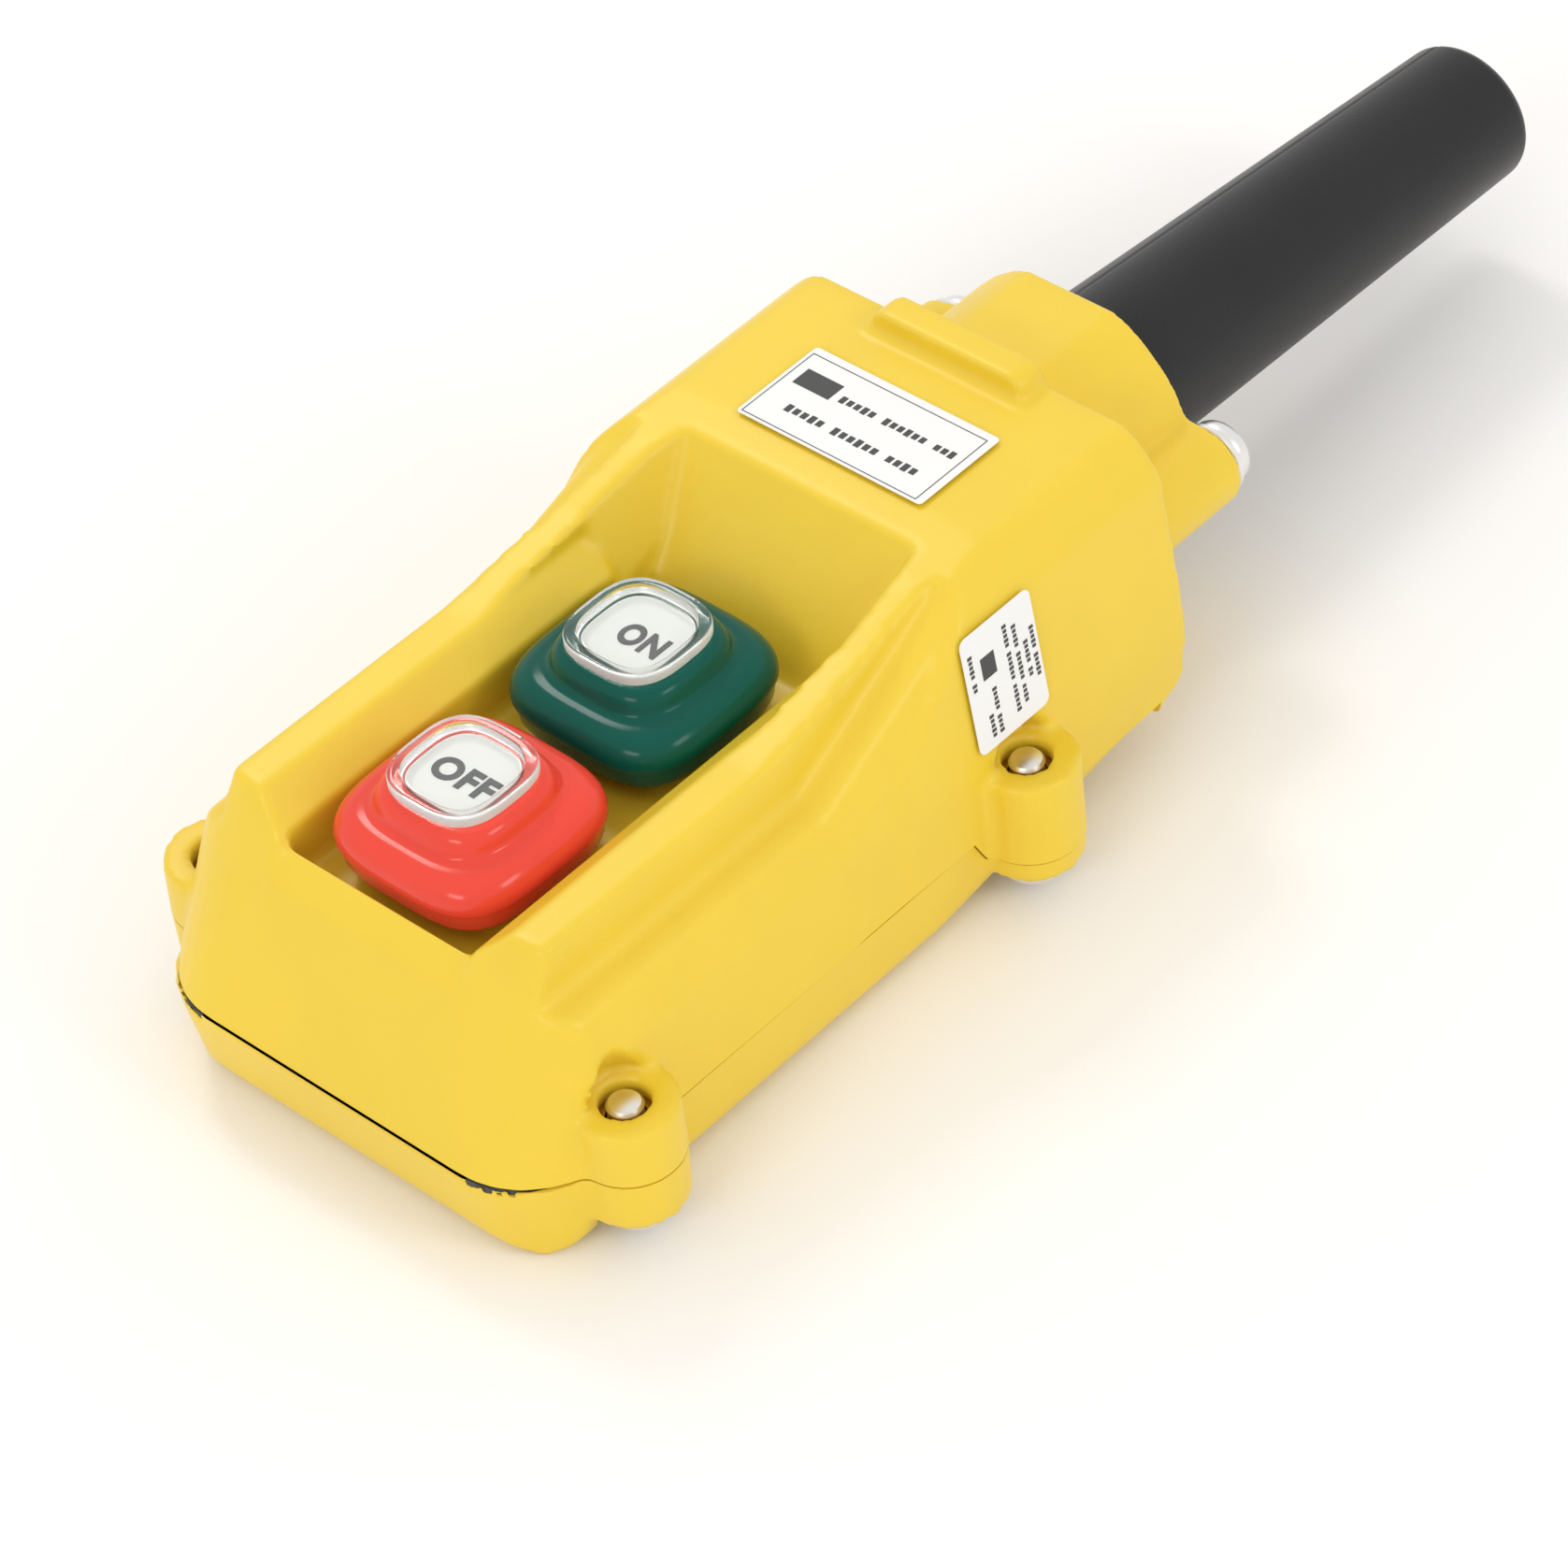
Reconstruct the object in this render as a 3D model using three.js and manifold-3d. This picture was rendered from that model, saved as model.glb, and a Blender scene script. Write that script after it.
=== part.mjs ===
// A pendant control station: a hand-held two-button switch box for a hoist, lying on its back.
// Millimetres, +Z up through the buttons, +Y towards the cable, X across. Z = 0 is the flat back.
// Lengths along Y are counted from the first pair of lug screws, and the whole group is moved at
// the end so that the origin is under the middle of the object.
import * as THREE from "three";
import { mergeVertices } from "three/addons/utils/BufferGeometryUtils.js";
import Module from "manifold-3d";

// ---------- driving dimensions ----------
const gap = 0.3; // between any two pieces that touch
const wall = 3; // casing and cover walls
const backWall = 2.5; // the cover's flat back

// case
const caseHalfWidth = 35.5; // at the parting line
const endFace = -17.7; // the near end, in front of the first lugs
const cornerRadius = 13; // plan corners of the near end
const endSlope = 0.52; // how far the near end leans back per mm of height
const coverDraft = 0.24; // the same for the cover below the parting line
const rearTaper = 1.2; // each side of the case comes in by this much towards the cable
const partingHeight = 14; // where casing and cover meet
const partingStepDrop = 4.5; // the joint steps down by this much behind the buttons
const partingStep = 66; // where along Y it starts to step down
const backRiseStart = 60; // the back is flat up to here, then climbs towards the cable
const backRise = 0.137; // climb per mm
const bottomDraft = 1.7; // how far the cover's sides lean in, from the joint to the back
const bottomRadius = 5.5; // round edge of the back
const shoulderHeight = 35.3; // top of the side walls beside the guards
const headTop = 50.8; // top of the head
const waistInset = 0.6; // the head's waist, in from the side of the case
const waistHeight = 25;
const browInset = 2.8; // where its sides turn over, in from the waist
const browDrop = 5.2; // below the top
const crownInset = 4.9; // the edge of its flat top, in from there
const crownDrop = 0.3;
const crestStart = 23.5; // the top is level from here on, counted from the end of the well
const crestBend = 9.5; // and bends down to the guards here
const crestBendDrop = 1.2;
const guardRise = 3; // what the guards gain in height by the end of the well
const guardRiseStart = 38; // where along Y they start to
const headLength = 49.4; // from the end of the well floor to the cable end face
const rearWall = 5; // wall that carries the cable collar
const rampStart = 42.5; // where the shoulders start to climb to the head
const rampRise = 0.42; // climb per mm
const rampInset = 0.07; // how far they move inwards per mm
const ribHalfWidth = 13; // the raised rib on the end of the head
const ribLength = 5.2;
const ribRise = 3.3;

// lugs and cover screws
const lugPitch = 76.5; // along Y
const lugOffset = 0.3; // screw axis outside the side wall
const lugRadius = 7.3;
const lugTop = 22.5;
const lugBottom = 6;
const lugHole = 3.45; // radius at the top of the lug
const scoopRadius = 5.6; // relief in the side wall above a lug
const scoopHeight = 8.5;
const scoopTip = 0.8; // radius where the relief runs out
const scoopWall = 2.2; // left behind the relief

// pan-head screws: radius and height of the head, radius of the shank
const coverScrew = { head: 4.75, height: 3.9, shank: 2.45 };
const collarScrew = { head: 4.75, height: 3.4, shank: 2.45 };
const innerScrew = { head: 3.2, height: 2.2, shank: 1.6 };
const terminalScrew = { head: 2.8, height: 1.8, shank: 1.6 };
const screwClearance = 0.4; // between a shank and the hole that it passes through

// buttons
const firstButton = 12.88; // centre of the first button
const buttonPitch = 32;
const buttonSize = 29.5; // the square lower part of a cap
const buttonCorner = 8.5;
const buttonSkirt = 35.5; // height of the skirt's lower edge
const buttonWaist = 43.3; // top of the lower part
const buttonTop = 46.5; // top of the upper part
const stageSize = 21; // foot of the upper part
const lensSize = 17;
const lensCorner = 6;
const lensHeight = 1.6;
const legendSize = 12.4;
const travel = 3;
const capWall = 1.9;
const buttonClearance = 1.85; // between a cap and the well's walls

// well and guards
const wellFloor = 32;
const lipHeight = 39.9; // ledge along the foot of the guards
const guardTop = 43.6;
const guardReach = 5.1; // from the well's wall out to the guard's inner edge
const guardWidth = 4.7; // across the top of a guard
const guardFoot = 10.9; // from the well's wall out to the guard's outer foot
const flareSlope = 0.51; // the well's side walls lean out by so much per mm of height at the head
const flareClosing = 0.203; // and close in by so much per mm towards the cable

// cable end
const collarLength = 20;
const collarRadius = 20.2;
const collarTop = 46.8;
const collarBottom = 9.5;
const cableHeight = 28; // cable axis above the back
const earOffset = 22.5; // collar screws from the axis
const earRadius = 6;
const bootRadius = 12.7; // at the collar
const bootTip = 10.9; // radius at the free end
const bootBore = 8;
const bootLength = 88; // beyond the collar
const bootDroop = 0.061; // fall per mm of length
const flangeRadius = 15.6;
const flangeThickness = 3;
const bootClearance = 0.4; // between the boot and the collar

// ---------- worked-out places ----------
const buttonY = [firstButton, firstButton + buttonPitch];
const wellHalf = buttonSize / 2 + buttonClearance;
const wellFront = buttonY[0] - wellHalf;
const wellEnd = buttonY[1] + wellHalf - 0.7;
const rear = wellEnd + headLength;
const lugX = caseHalfWidth + lugOffset;
const lugs = [
  { name: 1, x: -lugX, y: 0 },
  { name: 2, x: lugX, y: 0 },
  { name: 3, x: -lugX, y: lugPitch },
  { name: 4, x: lugX, y: lugPitch },
];
const rearHalfWidth = caseHalfWidth - rearTaper;
const headWaist = caseHalfWidth - waistInset;
const headBrow = headWaist - browInset;
const headCrown = headBrow - crownInset;
const tall = 90; // taller than anything here
const wide = 2 * caseHalfWidth; // wider than half of anything here
const floorUnder = wellFloor - wall + 0.5; // underside of the well's floor
const farParting = partingHeight - partingStepDrop;
const tip = rear + collarLength + bootLength;

// ---------- solids ----------
const wasm = await Module();
wasm.setup();

function toSolid(geometry) {
  const bare = geometry.index ? geometry.toNonIndexed() : geometry.clone();
  bare.deleteAttribute("normal");
  bare.deleteAttribute("uv");
  const merged = mergeVertices(bare, 1e-4);
  return new wasm.Manifold(new wasm.Mesh({
    numProp: 3,
    vertProperties: new Float32Array(merged.attributes.position.array),
    triVerts: new Uint32Array(merged.index.array),
  }));
}

function toGeometry(solid) {
  const mesh = solid.getMesh();
  const geometry = new THREE.BufferGeometry();
  geometry.setAttribute("position", new THREE.BufferAttribute(new Float32Array(mesh.vertProperties), 3));
  geometry.setIndex(new THREE.BufferAttribute(new Uint32Array(mesh.triVerts), 1));
  geometry.computeVertexNormals();
  return geometry;
}

const join = (...solids) => solids.reduce((all, one) => all.add(one));
const cut = (solid, ...tools) => tools.reduce((left, tool) => left.subtract(tool), solid);
const common = (...solids) => solids.reduce((all, one) => all.intersect(one));

// ---------- outlines ----------
// An outline is a ring of corners [u, v, radius]; a radius rounds its corner with an arc.
function roundedCorner(before, corner, after, steps = 4) {
  const radius = corner[2] ?? 0;
  if (radius === 0) return [new THREE.Vector2(corner[0], corner[1])];
  const at = new THREE.Vector2(corner[0], corner[1]);
  const back = new THREE.Vector2(before[0], before[1]).sub(at);
  const on = new THREE.Vector2(after[0], after[1]).sub(at);
  const half = Math.acos(back.clone().normalize().dot(on.clone().normalize())) / 2;
  const reach = Math.min(radius / Math.tan(half), 0.49 * back.length(), 0.49 * on.length());
  const start = at.clone().addScaledVector(back.normalize(), reach);
  const end = at.clone().addScaledVector(on.normalize(), reach);
  const axis = back.clone().add(on).normalize();
  const centre = at.clone().addScaledVector(axis, reach / Math.cos(half));
  const size = centre.distanceTo(start);
  const points = [];
  for (let i = 0; i <= steps; i++) {
    const chord = start.clone().lerp(end, i / steps).sub(centre).normalize();
    points.push(centre.clone().addScaledVector(chord, size));
  }
  return points;
}

function outline(corners, steps) {
  const count = corners.length;
  const points = corners.flatMap((corner, i) =>
    roundedCorner(corners[(i + count - 1) % count], corner, corners[(i + 1) % count], steps));
  return new THREE.Shape(points);
}

// the right half of a section, from the bottom up, made whole
function mirrored(half) {
  const left = half.filter(([u]) => u !== 0).map(([u, ...rest]) => [-u, ...rest]);
  return [...half, ...left.reverse()];
}

function rectangle(halfU, halfV, radius = 0, u = 0, v = 0) {
  return [[u - halfU, v - halfV, radius], [u + halfU, v - halfV, radius],
    [u + halfU, v + halfV, radius], [u - halfU, v + halfV, radius]];
}

function extrusion(corners, length, steps) {
  return new THREE.ExtrudeGeometry(outline(corners, steps), { depth: length, bevelEnabled: false });
}

// corners are (x, y)
function standing(corners, from, to, steps) {
  return extrusion(corners, to - from, steps).translate(0, 0, from);
}

// corners are (x, z)
function lengthwise(corners, from, to, steps) {
  return extrusion(corners, to - from, steps).rotateX(Math.PI / 2).translate(0, to, 0);
}

// corners are (y, z)
function crosswise(corners, half, steps) {
  const turn = new THREE.Matrix4().set(0, 0, 1, -half, 1, 0, 0, 0, 0, 1, 0, 0, 0, 0, 0, 1);
  return extrusion(corners, 2 * half, steps).applyMatrix4(turn);
}

// leans a geometry: x and z grow by so much per mm of y beyond a place
function lean(geometry, from, perX, perZ) {
  const matrix = new THREE.Matrix4().set(
    1, perX, 0, -perX * from, 0, 1, 0, 0, 0, perZ, 1, -perZ * from, 0, 0, 0, 1);
  return geometry.applyMatrix4(matrix);
}

// leans the near end back: y grows by so much per mm of z above a height
function leanBack(geometry, from, perY) {
  const matrix = new THREE.Matrix4().set(
    1, 0, 0, 0, 0, 1, perY, -perY * from, 0, 0, 1, 0, 0, 0, 0, 1);
  return geometry.applyMatrix4(matrix);
}

function upright(radiusTop, radiusBottom, from, to, segments = 20) {
  const geometry = new THREE.CylinderGeometry(radiusTop, radiusBottom, to - from, segments);
  return geometry.rotateX(Math.PI / 2).translate(0, 0, (from + to) / 2);
}

function along(radius, from, to, segments = 28) {
  const geometry = new THREE.CylinderGeometry(radius, radius, to - from, segments);
  return geometry.translate(0, (from + to) / 2, 0);
}

function block(x0, x1, y0, y1, z0, z1) {
  const geometry = new THREE.BoxGeometry(x1 - x0, y1 - y0, z1 - z0);
  return geometry.translate((x0 + x1) / 2, (y0 + y1) / 2, (z0 + z1) / 2);
}

// a turned piece, profile [radius, height] from the bottom round to the start
function turned(profile, segments) {
  const points = profile.map(([radius, height]) => new THREE.Vector2(radius, height));
  return new THREE.LatheGeometry(points, segments).rotateX(Math.PI / 2);
}

// ---------- materials ----------
function finish(colour, roughness, metalness = 0) {
  return new THREE.MeshStandardMaterial({ color: colour, roughness, metalness });
}
const yellow = finish(0xf3cc3c, 0.5);
const red = finish(0xe8301f, 0.22);
const green = finish(0x00594a, 0.22);
const clear = finish(0xdfe9e6, 0.08);
const white = finish(0xf2f1ea, 0.6);
const black = finish(0x2a2a2b, 0.62);
const steel = finish(0xc9c9c6, 0.25, 1);
const brass = finish(0xc8a24a, 0.35, 1);
const moulding = finish(0x2d2f33, 0.55);
const sealGrey = finish(0x4a4a4a, 0.8);

const station = new THREE.Group();

function place(name, solid, material, x = 0, y = 0, z = 0, parent = station) {
  const geometry = solid.isBufferGeometry ? solid : toGeometry(solid);
  const mesh = new THREE.Mesh(geometry, material);
  mesh.name = name;
  mesh.position.set(x, y, z);
  parent.add(mesh);
  return mesh;
}

// ---------- the outer form of the case ----------
// plan of the whole case: round corners at the near end, a slight taper to the cable end
function planCorners(inset, end) {
  const half = caseHalfWidth - inset;
  const radius = Math.max(cornerRadius - inset, 1);
  return [[-half, endFace + inset, radius], [half, endFace + inset, radius], [half, partingStep],
    [rearHalfWidth - inset, end], [-(rearHalfWidth - inset), end], [-half, partingStep]];
}

function leaningPlan(inset, slope, steps) {
  const plan = toSolid(leanBack(standing(planCorners(inset, rear + tall), -20, tall, steps),
    partingHeight, slope));
  return common(plan, toSolid(block(-wide, wide, -tall, rear, -19, tall - 1)));
}

const shoulderX = caseHalfWidth - 3.4;
const guardOuter = wellHalf + guardFoot;

// the lower side walls, up to the shoulder
function wallCorners() {
  return [[caseHalfWidth, 0], [caseHalfWidth, partingHeight], [caseHalfWidth - 1.1, 28, 8],
    [shoulderX, shoulderHeight, 3.5], [guardOuter, shoulderHeight + 0.6, 1.6]];
}

function baseCorners() {
  const slant = guardFoot - guardReach - guardWidth;
  return mirrored([...wallCorners(), [guardOuter - 2 * slant, tall], [0, tall]]);
}

function headCorners() {
  return mirrored([[caseHalfWidth, 0], [caseHalfWidth, partingHeight], [headWaist, waistHeight],
    [headBrow, headTop - browDrop, 6], [headCrown, headTop - crownDrop, 4], [0, headTop]]);
}

// where the casing ends below: a joint line that steps down behind the buttons
function aboveParting(lift) {
  return crosswise([[endFace - 20, partingHeight + lift], [partingStep, partingHeight + lift],
    [partingStep + 2.5, farParting + lift], [rear - rearWall - gap / 2, farParting + lift],
    [rear - rearWall - gap / 2, -9], [rear + 20, -9], [rear + 20, tall],
    [endFace - 20, tall]], wide);
}

// the top line of the case: the guards, rising into the head
function topLine() {
  return crosswise([[endFace - 20, -10], [rear + 20, -10], [rear + 20, headTop],
    [wellEnd + crestStart, headTop, 10], [wellEnd + crestBend, headTop - crestBendDrop, 12],
    [wellEnd - 3, guardTop + guardRise, 8], [guardRiseStart, guardTop - 0.2, 30],
    [endFace - 20, guardTop + 0.4]], wide);
}

function caseForm() {
  const plan = leaningPlan(0, endSlope, 7);
  const base = lengthwise(baseCorners(), endFace - 20, rampStart);
  const lower = lengthwise(mirrored(wallCorners()), rampStart - 1, rear); // reaches into the base
  const ramps = [-1, 1].map((side) => toSolid(lean(
    lengthwise(baseCorners(), rampStart, rear), rampStart, -side * rampInset, rampRise))
    .intersect(toSolid(side < 0 ? block(-wide, 0, -99, 300, -9, 99) : block(0, wide, -99, 300, -9, 99))));
  const headStart = wellEnd - 7; // the head's front climbs from here to its crest
  const headCrest = wellEnd + 14;
  const headRegion = toSolid(crosswise([[headStart, wellFloor - 1], [headCrest, headTop],
    [rear + 1, headTop + 9], [rear + 1, -20], [headStart, -20]], wide));
  const head = common(toSolid(lengthwise(headCorners(), rampStart, rear)), headRegion);
  const headOutline = toSolid(lengthwise(headCorners(), endFace - 20, rear));
  const climbing = common(join(...ramps), headOutline);
  const all = join(toSolid(base), toSolid(lower), climbing, head);
  const rib = toSolid(lengthwise([[-ribHalfWidth, headTop - 3, 0], [ribHalfWidth, headTop - 3, 0],
    [ribHalfWidth, headTop + ribRise, 2.2], [-ribHalfWidth, headTop + ribRise, 2.2]],
  rear - ribLength, rear));
  return join(common(all, plan, toSolid(topLine())), rib);
}

// ---------- the well and its guards ----------
function wellCut() {
  const headFront = 15.2; // the head's front face leans back by this much
  // the near edge of the well falls away to the near end: (y, z) from the foot of its wall
  const nearEdge = [[-8.2, -3], [-3.2, 2.6], [0, 6.3]].map(([y, z]) => [wellFront + y, wellFloor + z]);
  const profile = toSolid(crosswise([[wellFront, wellFloor], [wellEnd, wellFloor, 1.5],
    [wellEnd + headFront, headTop - 1], [wellEnd + headFront + 8, tall], [wellFront - 9, tall],
    ...nearEdge], wide));
  const straight = toSolid(lengthwise(rectangle(wellHalf, tall, 0, 0, tall + wellFloor), -99, 300));
  const flareStart = wellEnd - 3.2;
  const flareFoot = wellFloor + 4;
  const flareTop = headTop - 0.8;
  const flareReach = wellHalf + flareSlope * (flareTop - flareFoot);
  const flareCorners = [[-1, flareFoot], [wellHalf, flareFoot], [flareReach, flareTop],
    [flareReach, tall], [-1, tall]];
  const flares = [-1, 1].map((side) => toSolid(lean(lengthwise(flareCorners, flareStart, 300),
    flareStart, -flareClosing, 0)).scale([side, 1, 1]));
  const ledge = 0.8; // at the foot of a guard's inner face
  const rim = wellHalf + guardReach - 0.6; // the face turns upright just over the guard
  const innerFaces = mirrored([[wellHalf, lipHeight - 0.3], [wellHalf + ledge, lipHeight],
    [wellHalf + guardReach, guardTop + 0.3], [rim, guardTop + 2.4], [rim, tall]]);
  return join(common(profile, straight), common(profile, join(...flares)),
    toSolid(lengthwise(innerFaces, -99, flareStart)));
}

// ---------- front casing ----------
function chamber() {
  const low = toSolid(crosswise([
    [endFace + wall + 0.6, -5], [endFace + wall + 0.6, partingHeight],
    [wellFront - wall, floorUnder], [wellEnd + 1.5, floorUnder],
    [wellEnd + 17.5, headTop - wall], [rear - rearWall, headTop - wall],
    [rear - rearWall, partingHeight], [rear - rearWall - wall - gap, partingHeight],
    [rear - rearWall - wall - gap, -5]], wide));
  const section = toSolid(lengthwise(mirrored([[caseHalfWidth - wall, -5],
    [caseHalfWidth - wall, partingHeight], [headWaist - wall, waistHeight],
    [headBrow - wall, headTop - browDrop - 1, 3], [headCrown - wall / 2, headTop - wall - crownDrop, 2],
    [0, headTop - wall]]), -99, 300));
  return common(low, section, leaningPlan(wall, endSlope, 4));
}

// hollows inside the two guards
function guardHollows() {
  const inner = wellHalf + wall - 0.4;
  const corners = [[inner, floorUnder - 2], [guardOuter + 2.6, floorUnder - 2],
    [guardOuter + 1.6, shoulderHeight - wall], [guardOuter - wall + 0.4, shoulderHeight - wall + 1],
    [guardOuter - wall - 0.4, guardTop - 3.2], [inner + 2.4, guardTop - 3.2], [inner, lipHeight - 2]];
  const hollow = (side) => toSolid(lengthwise(corners, wellFront + 3, wellEnd - 6))
    .scale([side, 1, 1]);
  return join(hollow(1), hollow(-1));
}

const insertRadius = 4;
const insertHeight = 4.8;
const insertTop = lugTop - 3;
const bossX = 10; // the two bosses that carry the contact strap
const bossRadius = 3.6;
const bossY = (buttonY[0] + buttonY[1]) / 2;
const clampX = 13.5; // the two posts of the cable clamp
const clampY = rear - 16;
const clampBarTop = cableHeight - 2;
const clampBarThickness = 6;
const postRadius = 4;
const innerHole = innerScrew.shank + screwClearance;
const innerDepth = 11; // of the holes in bosses and posts
const collarHole = collarScrew.shank + screwClearance;
const earBoss = 5.2; // radius of the bosses behind the collar screws
const stemRadius = 3.5;
const stemClearance = 0.4;
const blockTop = floorUnder - gap;
const blockHeight = 17;
const blockBottom = blockTop - blockHeight;

// thickens the casing's wall above the joint behind the step
function jointFlange() {
  const inner = planCorners(wall + flangeInset, coverEnd - wall - flangeInset);
  const frame = cut(toSolid(block(-wide, wide, partingStep + 1, rear - 1, 0, farParting + flangeHeight)),
    toSolid(standing(inner, -20, tall, 4)));
  return common(frame, leaningPlan(0, endSlope, 7));
}

function frontCasing() {
  const form = common(caseForm(), underForm(0, 0, rear));
  const shell = cut(form, wellCut(), chamber(), guardHollows());
  const additions = [common(jointFlange(), form)];
  const removals = [];
  for (const lug of lugs) {
    const foot = lug.y > partingStep ? farParting : partingHeight;
    const at = (geometry) => toSolid(geometry.translate(lug.x, lug.y, 0));
    additions.push(at(upright(lugRadius - 0.2, lugRadius, foot, lugTop)));
    removals.push(at(upright(lugHole, lugHole, foot - 1, lugTop + 1, 16)));
    removals.push(at(upright(insertRadius + gap, insertRadius + gap, foot - 1, insertTop + gap, 16)));
    removals.push(at(upright(scoopTip, scoopRadius, lugTop, lugTop + scoopHeight, 18)));
    const backing = upright(scoopTip + scoopWall, scoopRadius + scoopWall, lugTop - scoopWall,
      lugTop + scoopHeight, 18);
    additions.push(common(at(backing), form));
  }
  for (const side of [-1, 1]) {
    const boss = upright(bossRadius, bossRadius, blockBottom, floorUnder + 1, 14);
    additions.push(toSolid(boss.translate(side * bossX, bossY, 0)));
    removals.push(toSolid(upright(innerHole, innerHole, blockBottom - 1, blockBottom + innerDepth, 12)
      .translate(side * bossX, bossY, 0)));
    const post = upright(postRadius, postRadius, clampBarTop + gap, headTop - wall + 1, 14);
    additions.push(toSolid(post.translate(side * clampX, clampY, 0)));
    removals.push(toSolid(upright(innerHole, innerHole, clampBarTop, clampBarTop + innerDepth, 12)
      .translate(side * clampX, clampY, 0)));
    const ear = along(earBoss, rear - rearWall - 6, rear - rearWall + 1, 14);
    additions.push(toSolid(ear.translate(side * earOffset, 0, cableHeight)));
    removals.push(toSolid(along(collarHole, rear - rearWall - 8, rear + 1, 14)
      .translate(side * earOffset, 0, cableHeight)));
  }
  removals.push(toSolid(along(bootBore, rear - 20, rear + 1).translate(0, 0, cableHeight)));
  for (const y of buttonY) {
    const stemHole = stemRadius + stemClearance;
    removals.push(toSolid(upright(stemHole, stemHole, floorUnder - 1, wellFloor + 1, 16)
      .translate(0, y, 0)));
  }
  const below = toSolid(aboveParting(gap / 2));
  const outside = toSolid(block(-wide, wide, -99, 300, -9, headTop + ribRise + 1));
  return common(cut(join(shell, ...additions), ...removals), below, outside);
}

// ---------- rear cover and gasket ----------
const grooveWidth = 1.6;
const grooveDepth = 1.3;
const grooveInset = (wall - grooveWidth) / 2;
const flangeInset = 2.1; // how much further in the joint's groove lies behind the step
const flangeHeight = 2.5;

// everything under the joint line, lifted or lowered by a distance
function underParting(lift) {
  return crosswise([[endFace - 20, -20], [rear + 20, -20], [rear + 20, farParting + lift],
    [partingStep + 2.5, farParting + lift], [partingStep, partingHeight + lift],
    [endFace - 20, partingHeight + lift]], wide);
}

const coverEnd = rear - rearWall - gap;

// the whole body below the joint: round bottom edges, and a back that climbs towards the cable
function underForm(inset, bottom, farEnd) {
  const half = caseHalfWidth - inset;
  const radius = Math.max(bottomRadius - inset, 2);
  const section = mirrored([[half - bottomDraft, bottom, radius], [half, partingHeight], [half, tall]]);
  const level = toSolid(lengthwise(section, -99, backRiseStart));
  const climbing = toSolid(lean(lengthwise(section, backRiseStart, 300), backRiseStart, 0, backRise));
  const end = endFace + inset;
  const profile = crosswise([[end + coverDraft * partingHeight, bottom, radius],
    [backRiseStart, bottom], [farEnd, bottom + backRise * (farEnd - backRiseStart), radius],
    [farEnd, tall], [end, tall], [end, partingHeight]], wide);
  const steps = inset === 0 ? 7 : 4;
  return common(join(level, climbing), toSolid(profile), leaningPlan(inset, -coverDraft, steps));
}

// a ring that follows the joint inside the wall and passes round the inside of the lug screws;
// behind the step it lies further in, on the flange
function jointRing(inset, width, top, depth) {
  const region = (distance) => {
    const around = insertRadius + 2 * gap + distance - grooveInset;
    const far = distance + flangeInset;
    const near = caseHalfWidth - distance;
    const radius = cornerRadius - distance;
    const plan = [[-near, endFace + distance, radius], [near, endFace + distance, radius],
      [near, partingStep - flangeInset], [caseHalfWidth - far, partingStep],
      [rearHalfWidth - far, coverEnd - far], [far - rearHalfWidth, coverEnd - far],
      [far - caseHalfWidth, partingStep], [-near, partingStep - flangeInset]];
    return cut(toSolid(standing(plan, -20, tall, 4)),
      ...lugs.map((lug) => toSolid(upright(around, around, -20, tall, 16).translate(lug.x, lug.y, 0))));
  };
  const band = cut(toSolid(underParting(top)), toSolid(underParting(top - depth)));
  return common(cut(region(inset), region(inset + width)), band);
}

function rearCover() {
  const outer = underForm(0, 0, rear);
  const tray = cut(common(outer, toSolid(block(-wide, wide, -99, coverEnd, -9, tall))),
    underForm(wall, backWall, coverEnd - wall));
  const bosses = [];
  const holes = [];
  const headRoom = coverScrew.head + 0.7;
  const passage = coverScrew.shank + screwClearance;
  for (const lug of lugs) {
    const at = (geometry) => toSolid(geometry.translate(lug.x, lug.y, 0));
    bosses.push(at(upright(lugRadius, lugRadius - 0.3, lugBottom, partingHeight)));
    bosses.push(common(at(upright(lugRadius, lugRadius, 0.2, lugBottom + 0.1)), outer));
    holes.push(at(upright(passage, passage, lugBottom - 1, tall, 14)));
    holes.push(at(upright(headRoom, headRoom, -2, lugBottom, 20)));
  }
  const groove = jointRing(grooveInset, grooveWidth, 5, 5 + grooveDepth);
  const top = toSolid(underParting(-gap / 2));
  return common(cut(join(tray, ...bosses), ...holes, groove), top);
}

function coverGasket() {
  return jointRing(grooveInset + gap, grooveWidth - 2 * gap, -gap / 2, grooveDepth - gap / 2 - gap);
}

// ---------- screws ----------
// a pan-head screw, head at the bottom, seat at z = 0, shank upwards, cross recess in the head
function panScrew({ head, height, shank }, length, segments = 16) {
  const point = 0.6; // the shank is chamfered at its end
  const body = turned([[0, -height], [head * 0.65, -height], [head, -height * 0.4], [head, 0],
    [shank, 0], [shank, length - point], [shank - point, length], [0, length]], segments);
  const slot = head * 0.55;
  const deep = height * 0.45;
  const thin = head * 0.12;
  const first = block(-slot, slot, -thin, thin, -height - 1, -height + deep);
  const second = block(-thin, thin, -slot, slot, -height - 1, -height + deep);
  return cut(toSolid(body), toSolid(first), toSolid(second));
}

function ring(inner, outer, height, segments = 16) {
  return turned([[inner, 0], [outer, 0], [outer, height], [inner, height], [inner, 0]], segments);
}

function addCaseParts() {
  place("front_casing", frontCasing(), yellow);
  place("rear_cover", rearCover(), yellow);
  place("cover_gasket", coverGasket(), sealGrey);
  const screwLength = lugTop - lugBottom + 0.1;
  for (const lug of lugs) {
    const screw = panScrew(coverScrew, screwLength);
    place(`cover_screw_${lug.name}`, screw, steel, lug.x, lug.y, lugBottom - gap);
    const insert = ring(coverScrew.shank + gap, insertRadius, insertHeight);
    place(`lug_insert_${lug.name}`, insert, brass, lug.x, lug.y, insertTop - insertHeight);
  }
}

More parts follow.
